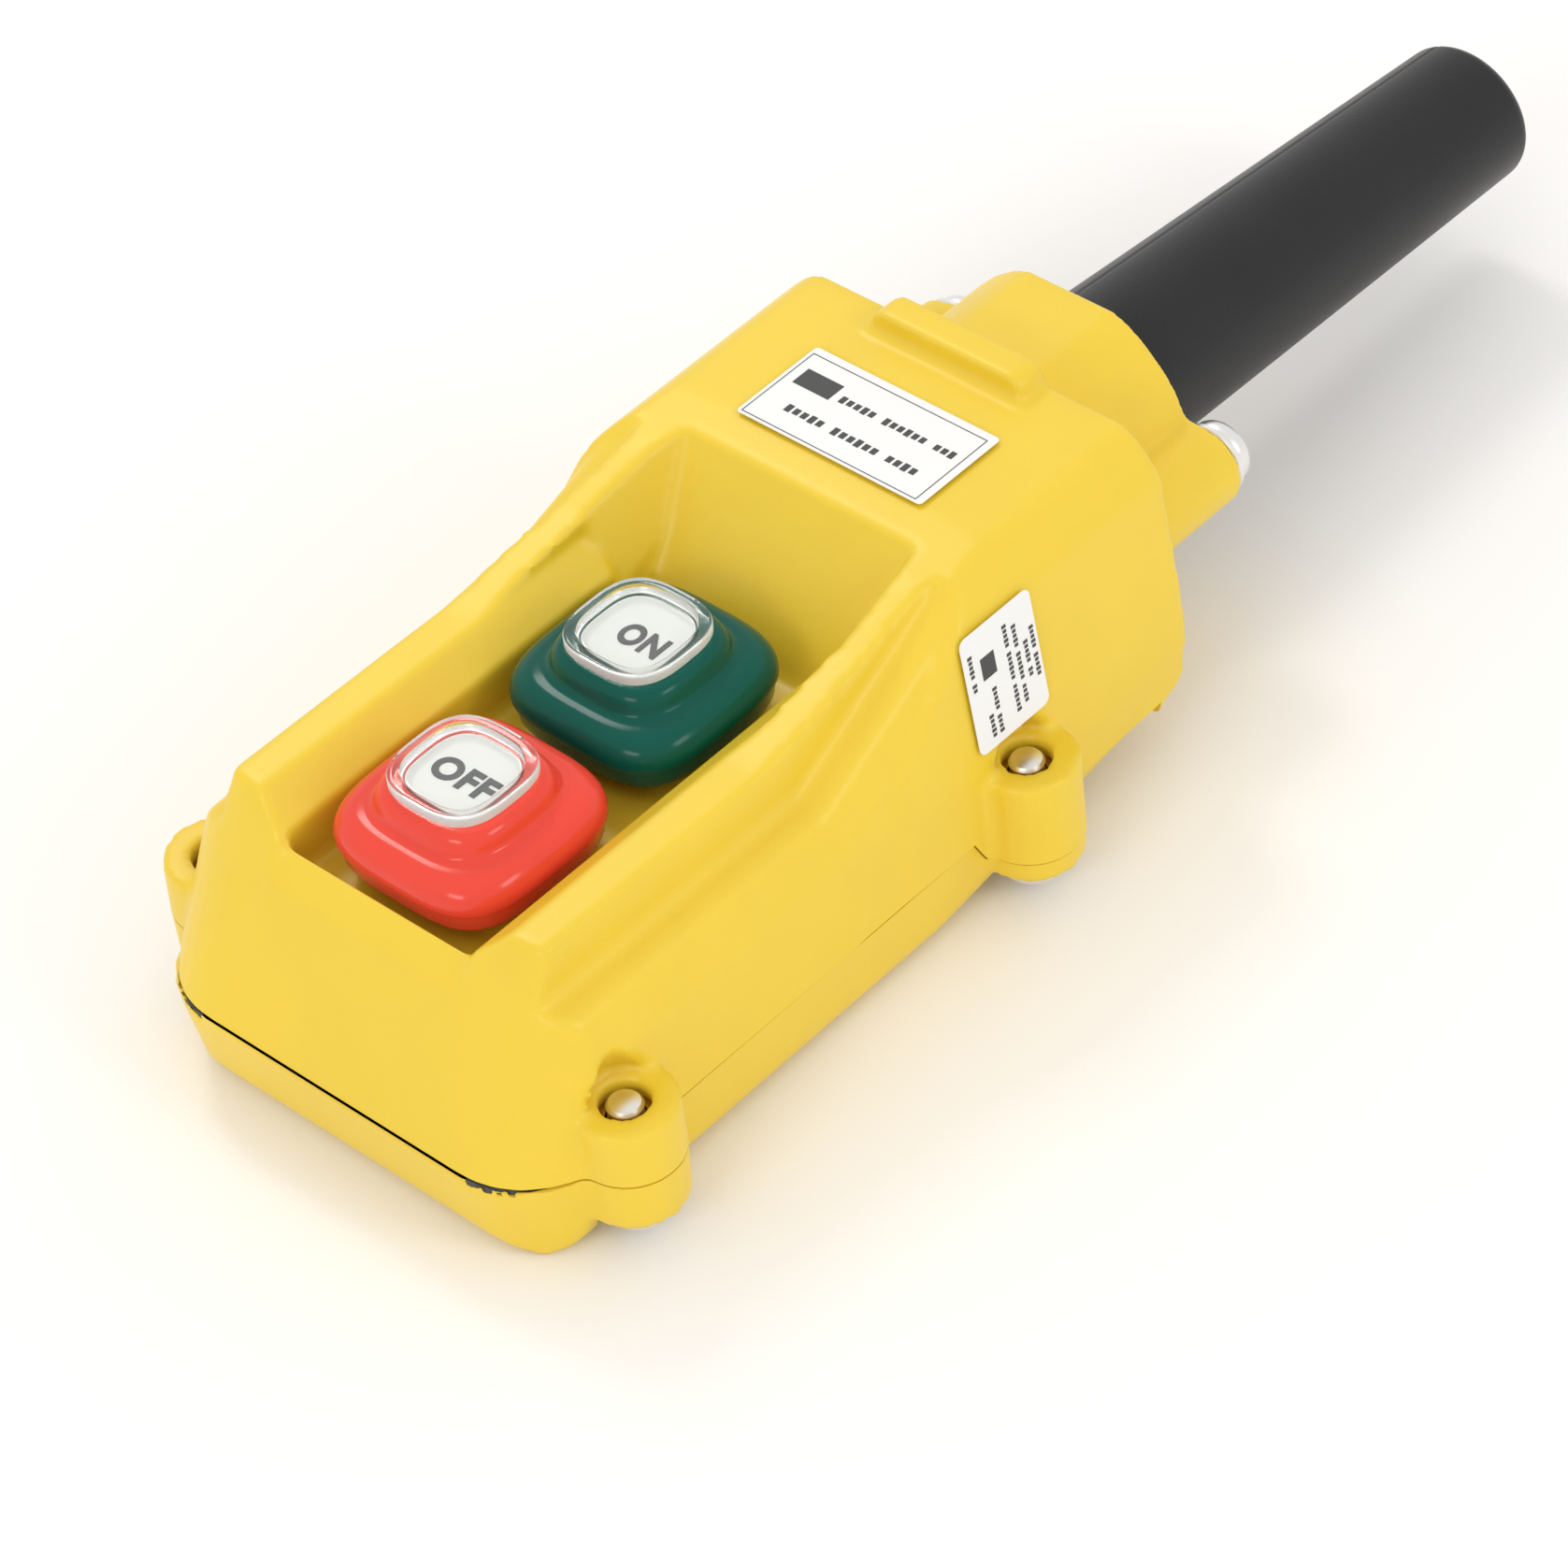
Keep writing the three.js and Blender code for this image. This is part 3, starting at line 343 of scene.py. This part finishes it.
# %% The joint's places
CLOSE = 0.01 * MM
cover_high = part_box("rear_cover")[1]
casing_low, casing_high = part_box("front_casing")
cover_points = [vert.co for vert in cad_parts["rear_cover"].data.vertices]
far_rim = max(point.z for point in cover_points if point.y > cover_high.y - 2 * MM)
near_joint = cover_high.z + JOINT_GAP / 2
far_joint = far_rim + JOINT_GAP / 2
step_start = max(point.y for point in cover_points if point.z > cover_high.z - CLOSE)
step_end = min(point.y for point in cover_points
               if abs(point.z - far_joint + JOINT_GAP / 2) < CLOSE and point.y > step_start)
rear_wall_face = max(point.y for point in cover_points) + JOINT_GAP / 2
print("joint heights", round(near_joint / MM, 2), round(far_joint / MM, 2))


# %% Joint trimming
TOOL_REACH = 40 * MM
OVERLAP = 2.5 * MM


def joint_tool(name, side, end):
    """A block on one side of the joint: side -1 is all that lies under it, +1 all over it."""
    lift = -side * JOINT_GAP / 2
    outer = near_joint + side * TOOL_REACH
    start = casing_low.y - TOOL_REACH
    corners = [(start, near_joint + lift), (step_start, near_joint + lift), (step_end, far_joint + lift),
               (end, far_joint + lift), (end, outer), (start, outer)]
    bm = bmesh.new()
    ring = [bm.verts.new((-2 * casing_high.x, y, z)) for y, z in corners]
    face = bm.faces.new(ring)
    swept = bmesh.ops.extrude_face_region(bm, geom=[face])
    moved = [item for item in swept["geom"] if isinstance(item, bmesh.types.BMVert)]
    bmesh.ops.translate(bm, verts=moved, vec=(4 * casing_high.x, 0, 0))
    bmesh.ops.recalc_face_normals(bm, faces=bm.faces)
    return as_object(name, bm)


def trim(shell, tool):
    """Cuts a tool's shape out of a shell, and drops the tool."""
    cutter = shell.modifiers.new("trim", "BOOLEAN")
    cutter.operation = "DIFFERENCE"
    cutter.solver = "EXACT"
    cutter.object = tool
    bake(shell)
    bpy.data.objects.remove(tool)


def lengthen_to_joint(bm, direction):
    """Pushes the rim past the joint, so that the skin's own soft edge is trimmed away."""
    levels = [joint - direction * JOINT_GAP / 2 for joint in (near_joint, far_joint)]
    for vert in bm.verts:
        if min(abs(vert.co.z - level) for level in levels) < 2 * CLOSE:
            vert.co.z += direction * OVERLAP


def shell_piece(node, name, direction, end):
    """One half of the case: direction -1 reaches down to the joint, +1 up to it."""
    bm = merged_copy(node)
    lengthen_to_joint(bm, direction)
    shell = piece(name, bm, case_yellow, "station", [node])
    add_skin(shell, 0.7 * MM, 4)
    trim(shell, joint_tool("joint_tool", direction, end))
    thin_out(shell)


shell_piece("front_casing", "casing_shell", -1, rear_wall_face)
shell_piece("rear_cover", "cover_shell", 1, cover_high.y + TOOL_REACH / 2)

# %% [markdown]
# The collar is made the same way, with a finer skin and more smoothing, because its barrel and
# ears are smaller. It has no joint to trim: it is clamped to the case by its two screws.

# %% Collar
collar_bm = merged_copy("cable_collar")
collar = piece("collar_shell", collar_bm, case_yellow, "station", ["cable_collar"])
add_skin(collar, 0.5 * MM, 6)
thin_out(collar)

# %% [markdown]
# ## Button caps
#
# A cap is a thick plastic cushion with a smaller stage on top. Both are squares whose sides bulge
# a little into large round corners. Bevels on a cube would give flat sides. So a circle, swelled
# into such a soft square, is extruded from level to level: from the ceiling inside, round the
# foot and up to the stage. A fine step low on the flank is where the halves of its mould met.

# %% Soft square lofts
END_BAND = 0.15


def soften(ring, half, power, height):
    """Moves a ring of points onto a soft square: power 2 is a circle, and a higher one is squarer."""
    for vert in ring:
        angle = math.atan2(vert.co.y, vert.co.x)
        across, along = math.cos(angle), math.sin(angle)
        reach = half * (abs(across) ** power + abs(along) ** power) ** (-1 / power)
        vert.co = (reach * across, reach * along, height)


def lofted(levels, centre, foot, steps=96):
    """Extrudes a ring up through levels, in millimetres as (half size, power, height over foot)."""
    bm = bmesh.new()
    # a narrow flat band round each end face keeps smooth shading from bending it
    ends = [(half - END_BAND, power, height) for half, power, height in (levels[0], levels[-1])]
    ring = bmesh.ops.create_circle(bm, cap_ends=True, radius=MM, segments=steps)["verts"]
    edges = list(bm.edges)
    for number, (half, power, height) in enumerate([ends[0], *levels, ends[1]]):
        if number:
            swept = bmesh.ops.extrude_edge_only(bm, edges=edges)["geom"]
            ring = [item for item in swept if isinstance(item, bmesh.types.BMVert)]
            edges = [item for item in swept if isinstance(item, bmesh.types.BMEdge)]
        soften(ring, half * MM, power, foot + height * MM)
    bmesh.ops.holes_fill(bm, edges=edges, sides=0)
    bmesh.ops.recalc_face_normals(bm, faces=bm.faces)
    bmesh.ops.translate(bm, verts=bm.verts, vec=(centre.x, centre.y, 0))
    return bm


def centre_of(node):
    low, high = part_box(node)
    return (low + high) / 2


# %% [markdown]
# The levels of a cap fall into five groups, and both caps share them. Only the shoulder is
# a regular curve, a quarter of an ellipse, so a formula gives its levels.

# %% The caps
def button_cap(word, material):
    """One button's cap, built from its foot up; levels are (half size, power, height)."""
    node = word + "_button_cap"
    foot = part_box(node)[0].z
    inside = [(12.0, 3.6, 5.7), (12.8, 3.6, 5.0), (12.8, 3.6, 0.4), (13.1, 3.6, 0.0)]
    skirt = [(13.6, 3.6, 0.0), (13.9, 3.6, 0.15), (14.1, 3.6, 0.6), (14.42, 3.6, 2.95), (14.44, 3.6, 3.05),
             (14.66, 3.6, 3.12), (14.75, 3.6, 3.35), (14.75, 3.6, 4.1)]
    shoulder = [(11.35 + 3.4 * math.cos(math.radians(9 * i)), 3.6 - 0.02 * i,
                 4.1 + 3.45 * math.sin(math.radians(9 * i))) for i in range(1, 11)]
    stage = [(10.95, 3.35, 7.63), (10.6, 3.3, 7.8), (10.32, 3.25, 8.12), (10.14, 3.2, 8.6), (10.0, 3.2, 9.2),
             (9.8, 3.15, 9.8), (9.5, 3.1, 10.3), (9.1, 3.1, 10.68), (8.65, 3.1, 10.92), (8.2, 3.1, 11.0)]
    pocket = [(6.95, 3.2, 11.0), (6.85, 3.2, 10.9), (6.8, 3.2, 10.0)]
    bm = lofted(inside + skirt + shoulder + stage + pocket, centre_of(node), foot)
    return piece(word + "_cap_moulding", bm, material, word + "_button", [node], sharp=60)


button_cap("off", cap_red)
button_cap("on", cap_green)

# %% [markdown]
# ## Windows and legends
#
# Each cap carries a clear acrylic window with a raised rim, and under it a small white dish with
# the word. Both are lofts of the same soft squares. The window's outer wall gets a whitish,
# half-clear finish of its own, which is painted light: its pale colour stands in for the brightness
# that the clear wall bends in from the white dish and the lamps above. The lettering is a text object
# made into a mesh before it is put in its place, only a few hundredths of a millimetre thick,
# like the ink it stands for.

# %% Windows
# material slot of the whitish edge finish, painted light for the window's outer walls
PAINTED_LIGHT_EDGE = 1


def window(word):
    """The clear cover on a cap, with a rim that stands above its flat middle."""
    node = word + "_lens"
    levels = [(8.4, 3.0, 0), (8.5, 3.0, 0.12), (8.5, 3.0, 1.25), (8.42, 3.0, 1.45), (8.25, 3.0, 1.57),
              (8.0, 3.0, 1.6), (7.1, 3.1, 1.6), (6.9, 3.1, 1.5), (6.72, 3.1, 0.85), (6.55, 3.15, 0.66),
              (6.3, 3.2, 0.6)]
    bm = lofted(levels, centre_of(node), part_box(node)[0].z)
    made = piece(word + "_window", bm, acrylic, word + "_button", [node], sharp=50)
    made.data.materials.append(edge_painted_light)
    # the outer walls take the whitish edge finish, a painted stand-in for light bent through the clear wall
    for face in made.data.polygons:
        outward = face.center - centre_of(node)
        if abs(face.normal.z) < 0.5 and outward.x * face.normal.x + outward.y * face.normal.y > 0:
            face.material_index = PAINTED_LIGHT_EDGE


for word in ("off", "on"):
    window(word)


# %% Legends and words
INK = 0.04 * MM
WORD_HEIGHT = 4.1 * MM


def legend(word):
    """The white dish under a window; gives the middle of its floor, where the word goes."""
    node = word + "_legend"
    centre, foot = centre_of(node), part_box(node)[0].z
    floor_height = 0.15
    levels = [(6.6, 3.2, 0), (6.68, 3.2, 0.08), (6.68, 3.2, 0.66), (6.5, 3.2, 0.72), (6.35, 3.2, 0.66),
              (6.1, 3.2, 0.3), (5.7, 3.2, floor_height)]
    bm = lofted(levels, centre, foot)
    piece(word + "_legend_card", bm, legend_white, word + "_button", [node], sharp=60)
    return Vector((centre.x, centre.y, foot + floor_height * MM))


def ink_word(word, place, width):
    """The word as flat ink, fitted to a width and the common height."""
    text = bpy.data.curves.new(word + "_text", "FONT")
    text.body = word.upper()
    text.align_x = "CENTER"
    text.align_y = "CENTER"
    text.offset = 0.045
    text.extrude = 0.01
    text.resolution_u = 6
    text.space_character = 1.1
    shape = bpy.data.objects.new(word + "_text", text)
    scene.collection.objects.link(shape)
    bpy.context.view_layer.update()
    mesh = bpy.data.meshes.new_from_object(shape.evaluated_get(bpy.context.evaluated_depsgraph_get()))
    bpy.data.objects.remove(shape)
    bm = bmesh.new()
    bm.from_mesh(mesh)
    bmesh.ops.remove_doubles(bm, verts=bm.verts, dist=1e-5)
    low = Vector(min(v.co[i] for v in bm.verts) for i in range(3))
    high = Vector(max(v.co[i] for v in bm.verts) for i in range(3))
    bmesh.ops.translate(bm, vec=-(low + high) / 2, verts=bm.verts)
    size = high - low
    bmesh.ops.scale(bm, vec=(width / size.x, WORD_HEIGHT / size.y, INK / size.z), verts=bm.verts)
    bmesh.ops.translate(bm, vec=place + Vector((0, 0, INK)), verts=bm.verts)
    piece(word + "_lettering", bm, print_grey, word + "_button", sharp=30)


for word, width, shift in (("off", 9.9 * MM, 0), ("on", 7.1 * MM, 0.6 * MM)):
    ink_word(word, legend(word) + Vector((shift, 0, 0)), width)

# %% [markdown]
# ## The cable boot
#
# The boot is a thick rubber tube with a slight taper and a soft lip. Its section is drawn once
# and spun about the cable's axis. It hangs a little under its own weight beyond the collar, so
# the spun tube is then sheared down in proportion to the distance. The mould for such a long
# tube opens along its length and leaves a fine seam on each side, with a hair's step across it.

# %% Spinning
def spin_section(points, axis, steps, closed):
    """Spins a section once about an axis through the origin."""
    bm = bmesh.new()
    ring = [bm.verts.new(point) for point in points]
    pairs = list(zip(ring[:-1], ring[1:]))
    if closed:
        pairs.append((ring[-1], ring[0]))
    edges = [bm.edges.new(pair) for pair in pairs]
    bmesh.ops.spin(bm, geom=ring + edges, cent=(0, 0, 0), axis=axis, angle=2 * math.pi,
                   steps=steps, use_merge=True, use_duplicate=False)
    bmesh.ops.remove_doubles(bm, verts=bm.verts, dist=1e-7)
    bmesh.ops.recalc_face_normals(bm, faces=bm.faces)
    return bm


def spun(profile, steps):
    """Spins a closed outline of (radius, along) pairs about the Y axis."""
    return spin_section([(0, along, radius) for radius, along in profile], (0, 1, 0), steps, True)


def arc(centre, radius, start, end, steps):
    """Points (radius, along) round a small corner; angles in degrees from the outward direction."""
    points = []
    for i in range(steps + 1):
        angle = math.radians(start + (end - start) * i / steps)
        points.append((centre[0] + radius * math.cos(angle), centre[1] + radius * math.sin(angle)))
    return points


# %% Boot
boot_low, boot_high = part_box("cable_boot")
collar_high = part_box("cable_collar")[1]
cable_axis = centre_of("boot_clamp_ring").z
root_radius = 12.7 * MM
tip_radius = 10.9 * MM
bore = 8 * MM
flange = boot_high.x
flange_back = boot_low.y + 3 * MM
lip = 2.2 * MM
soft = 0.4 * MM
root_soft = 0.3 * MM
tube_steps = 30
boot_profile = [(bore, boot_low.y), (flange - soft, boot_low.y), (flange, boot_low.y + soft),
                (flange, flange_back - soft), (flange - soft, flange_back),
                (root_radius + root_soft, flange_back), (root_radius, flange_back + root_soft)]
for i in range(1, tube_steps):
    part = i / tube_steps
    along = collar_high.y + (boot_high.y - lip - collar_high.y) * part
    boot_profile.append((root_radius + (tip_radius - root_radius) * part, along))
boot_profile += arc((tip_radius - lip, boot_high.y - lip), lip, 0, 80, 7)
boot_profile += arc((bore + 0.6 * MM, boot_high.y - 0.7 * MM), 0.6 * MM, 90, 180, 4)
boot = spun(boot_profile, 180)

# %% Boot seam and sag
seam_angle = math.radians(26)
seam_half_width = math.radians(1.1)
seam_depth = 0.16 * MM
for vert in boot.verts:
    radius = math.hypot(vert.co.x, vert.co.z)
    angle = math.atan2(-vert.co.x, vert.co.z)
    if radius > bore + 1 * MM and vert.co.y > collar_high.y - 2 * MM:
        for centre_angle in (seam_angle, seam_angle - math.pi):
            if abs(angle - centre_angle) < seam_half_width:
                vert.co.x *= 1 - seam_depth / radius
                vert.co.z *= 1 - seam_depth / radius
tip_drop = cable_axis - boot_low.z - tip_radius
for vert in boot.verts:
    beyond = max(0, vert.co.y - collar_high.y)
    vert.co.z += cable_axis - tip_drop * beyond / (boot_high.y - collar_high.y)
piece("boot_tube", boot, boot_rubber, "station", ["cable_boot"], sharp=70)

# %% [markdown]
# ## Screws and washers
#
# The cover screws go up through the lugs from behind, so that only their round tips show from
# the front, and the two collar screws show their pan heads and washers. A screw is one section
# spun about its axis: dome, underside, shank with the rings of its thread, and the rounded
# tip. The cross recess is sunk by a boolean with two crossed blocks that narrow as they go in.

# %% Screw maker
SCREW_HEAD = 4.75 * MM
SCREW_SHANK = 2.45 * MM


def spun_upright(profile, steps=40):
    """Spins an open section of (radius, height) pairs, from axis to axis, about the Z axis."""
    return spin_section([(radius, 0, height) for radius, height in profile], (0, 0, 1), steps, False)


def cross_recess(bm, top, reach, depth):
    """Cuts a tapering cross into the head; the head's top is at height top."""
    head = as_object("head", bm.copy())
    for turn in (0, math.pi / 2):
        wedge = bmesh.new()
        bmesh.ops.create_cube(wedge, size=1)
        bmesh.ops.scale(wedge, vec=(2 * reach, 0.34 * reach, 2 * depth), verts=wedge.verts)
        bottom = [v for v in wedge.verts if v.co.z < 0]
        bmesh.ops.scale(wedge, vec=(0.45, 0.7, 1), verts=bottom)
        bmesh.ops.rotate(wedge, cent=(0, 0, 0), matrix=Matrix.Rotation(turn, 3, "Z"), verts=wedge.verts)
        bmesh.ops.translate(wedge, vec=(0, 0, top), verts=wedge.verts)
        trim(head, as_object("blade", wedge))
    bm.clear()
    bm.from_mesh(head.data)
    bpy.data.objects.remove(head)


def pan_screw(name, node, height, length, place, turn):
    """A pan-head screw with its seat at the origin and its head upwards, then put in its place."""
    head, shank = SCREW_HEAD, SCREW_SHANK
    profile = [(0, height)]
    for i in range(1, 10):
        angle = math.radians(90 * i / 9)
        profile.append((head * math.sin(angle), height * (0.25 + 0.75 * math.cos(angle) ** 0.8)))
    profile += [(head, 0.12 * height), (0.97 * head, 0), (shank, 0)]
    pitch = 0.8 * MM
    rings = int((length - 1.4 * MM) / pitch)
    for i in range(1, rings):
        profile += [(shank, -pitch * (i + 0.1)), (shank - 0.35 * MM, -pitch * (i + 0.5))]
    profile += [(shank, -length + 0.9 * MM), (0.85 * shank, -length + 0.35 * MM),
                (0.5 * shank, -length + 0.08 * MM), (0, -length)]
    bm = spun_upright(profile)
    cross_recess(bm, height, 0.56 * head, 0.5 * height)
    bmesh.ops.rotate(bm, cent=(0, 0, 0), matrix=Matrix.Rotation(turn[0], 3, turn[1]), verts=bm.verts)
    bmesh.ops.translate(bm, vec=place, verts=bm.verts)
    piece(name, bm, bright_steel, "station", [node], sharp=35)


# %% [markdown]
# The design gives each screw's box, and that is enough: its middle gives the axis, the head's
# height gives the seat, and the rest of the box is shank. The four cover screws stand on their
# heads, and the two collar screws lie along the cable.

# %% Cover screws and collar screws
COVER_HEAD_HEIGHT = 3.9 * MM
COLLAR_HEAD_HEIGHT = 3.4 * MM
for number in (1, 2, 3, 4):
    node = f"cover_screw_{number}"
    low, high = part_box(node)
    middle = centre_of(node)
    seat = low.z + COVER_HEAD_HEIGHT
    pan_screw(f"cover_pan_screw_{number}", node, COVER_HEAD_HEIGHT, high.z - seat,
              Vector((middle.x, middle.y, seat)), (math.pi, "X"))
for side in ("left", "right"):
    node = f"collar_screw_{side}"
    low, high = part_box(node)
    middle = centre_of(node)
    seat = high.y - COLLAR_HEAD_HEIGHT
    pan_screw(f"collar_pan_screw_{side}", node, COLLAR_HEAD_HEIGHT, seat - low.y,
              Vector((middle.x, seat, middle.z)), (-math.pi / 2, "X"))
    low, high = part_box(f"collar_washer_{side}")
    outer, inner, thick = (high.x - low.x) / 2, 2.85 * MM, high.y - low.y
    edge = 0.2 * MM
    bm = spun([(inner, 0), (outer - edge, 0), (outer, edge), (outer, thick - edge), (outer - edge, thick),
               (inner, thick)], 48)
    bmesh.ops.translate(bm, vec=(middle.x, low.y, middle.z), verts=bm.verts)
    piece(f"collar_flat_washer_{side}", bm, bright_steel, "station",
          [f"collar_washer_{side}"], sharp=35)

# %% [markdown]
# ## Labels
#
# Two paper labels are stuck to the head, one on top and one on its right side. They are thin
# cards with round corners. Their print is plain: a fine border, a block and rows of dashes, which
# stand where a maker's lines would be. Each card is built flat at the origin, with its print a
# hair above it, and both are then laid in the label's own place.

# %% Label maker
PAPER = 0.12 * MM
INK_LIFT = 0.01 * MM


def flat_card(size, corner, thick, low):
    """A card about the origin, from height low up, with its upright edges rounded."""
    bm = bmesh.new()
    bmesh.ops.create_cube(bm, size=1)
    bmesh.ops.scale(bm, vec=(size[0], size[1], thick), verts=bm.verts)
    bmesh.ops.translate(bm, vec=(0, 0, low + thick / 2), verts=bm.verts)
    upright = [e for e in bm.edges if abs(e.verts[0].co.z - e.verts[1].co.z) > thick / 2]
    if corner:
        bmesh.ops.bevel(bm, geom=upright, offset=corner, offset_type="OFFSET", segments=6,
                        profile=0.5, affect="EDGES", material=-1)
    return bm


def join_into(bm, other, move):
    """Moves another bmesh and adds it to this one."""
    bmesh.ops.translate(other, vec=move, verts=other.verts)
    mesh = bpy.data.meshes.new("part")
    other.to_mesh(mesh)
    other.free()
    bm.from_mesh(mesh)
    bpy.data.meshes.remove(mesh)


def printed(rows, block, border, thick):
    """Ink on a card, in millimetres: rows of dashes (x, y, length, height), a block and a border."""
    ink = bmesh.new()
    bars = [block]
    for x, y, length, height in rows:
        dash, space = 0.62 * height, 0.3 * height
        count = int(length / (dash + space))
        for i in range(count):
            if i % 7 != 5:
                along = x + (i + 0.5 - count / 2) * (dash + space)
                bars.append((along, y, dash, height * (0.8 if i % 3 else 1)))
    if border:
        line = 0.12
        x, y, across, up = border
        bars += [(x, y + up / 2, across + line, line), (x, y - up / 2, across + line, line),
                 (x + across / 2, y, line, up - line), (x - across / 2, y, line, up - line)]
    for x, y, width, height in bars:
        join_into(ink, flat_card((width * MM, height * MM), 0, INK, thick), (x * MM, y * MM, 0))
    return ink


def label(name, node, size, corner, rows, block, border, turn):
    """A card and its print, built flat and then laid in place by turn."""
    card = flat_card(size, corner, PAPER, 0)
    ink = printed(rows, block, border, PAPER + INK_LIFT)
    for part, word, material in ((card, "", label_paper), (ink, "_print", print_grey)):
        bmesh.ops.transform(part, matrix=turn, verts=part.verts)
        piece(name + word, part, material, "station", [] if word else [node], sharp=30)


# %% The two labels
top_low, top_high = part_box("top_label")
top_middle = centre_of("top_label")
top_rows = [(3.5, 1.8, 19.9, 1.35), (0.2, -3.6, 24, 1.45)]
label("top_paper_label", "top_label", (top_high.x - top_low.x, top_high.y - top_low.y), 0.6 * MM,
      top_rows, (-10.6, 2.3, 6.2, 3.3), (-0.3, -0.4, 29.9, 14.2),
      Matrix.Translation((top_middle.x, top_middle.y, top_low.z)))

side_low, side_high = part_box("side_label")
side_length = side_high.z - side_low.z
card_width, card_thick = 13.6 * MM, 0.3 * MM
side_lean = math.asin(((side_high.x - side_low.x) - card_thick) / side_length)
side_middle = centre_of("side_label")
side_turn = (Matrix.Translation(side_middle) @ Matrix.Rotation(math.pi / 2 - side_lean, 4, "Y")
             @ Matrix.Translation((0, 0, -card_thick / 2)))
side_rows = [(x, y, length, 0.8) for x, y, length in
             ((-3.4, -5.5, 6.6), (4.3, -2.3, 8), (6.0, -3.7, 4), (0.1, 1.3, 14), (0.4, 2.9, 12.7),
              (0.6, 4.5, 6.6), (0.3, 5.9, 8.3))]
label("side_paper_label", "side_label", (side_length / math.cos(side_lean), card_width), 1.2 * MM,
      side_rows, (-2.9, -2.5, 3.4, 2.6), None, side_turn)

# %% [markdown]
# ## The pieces that are kept
#
# The parts inside the case are never seen whole, and the design already has their true shape.
# They could be remade, but that would add nothing, so they stay as they are and only get
# a finish, found by a word in their name.

# %% Design nodes kept
finish_of = {
    "cover_gasket": seal_rubber, "cable_clamp": dark_moulding, "contact_strap": bright_steel,
    "boot_clamp_ring": bright_steel, "top_label": label_paper, "side_label": label_paper,
    "cable_boot": boot_rubber,
}
word_finish = {
    "lug_insert": brass_metal, "screw": bright_steel, "washer": bright_steel, "spring": bright_steel,
    "plunger": dark_moulding, "shaft_seal": seal_rubber, "contact_block": dark_moulding,
    "contact_bridge": brass_metal, "terminal": brass_metal, "legend": legend_white, "lens": acrylic,
    "off_button_cap": cap_red, "on_button_cap": cap_green,
}
kept = 0
for node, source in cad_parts.items():
    if source.hide_render:
        continue
    for word, material in word_finish.items():
        if word in node:
            finish_of.setdefault(node, material)
    hold(node, finish_of[node])
    kept += 1
print("design nodes kept", kept)
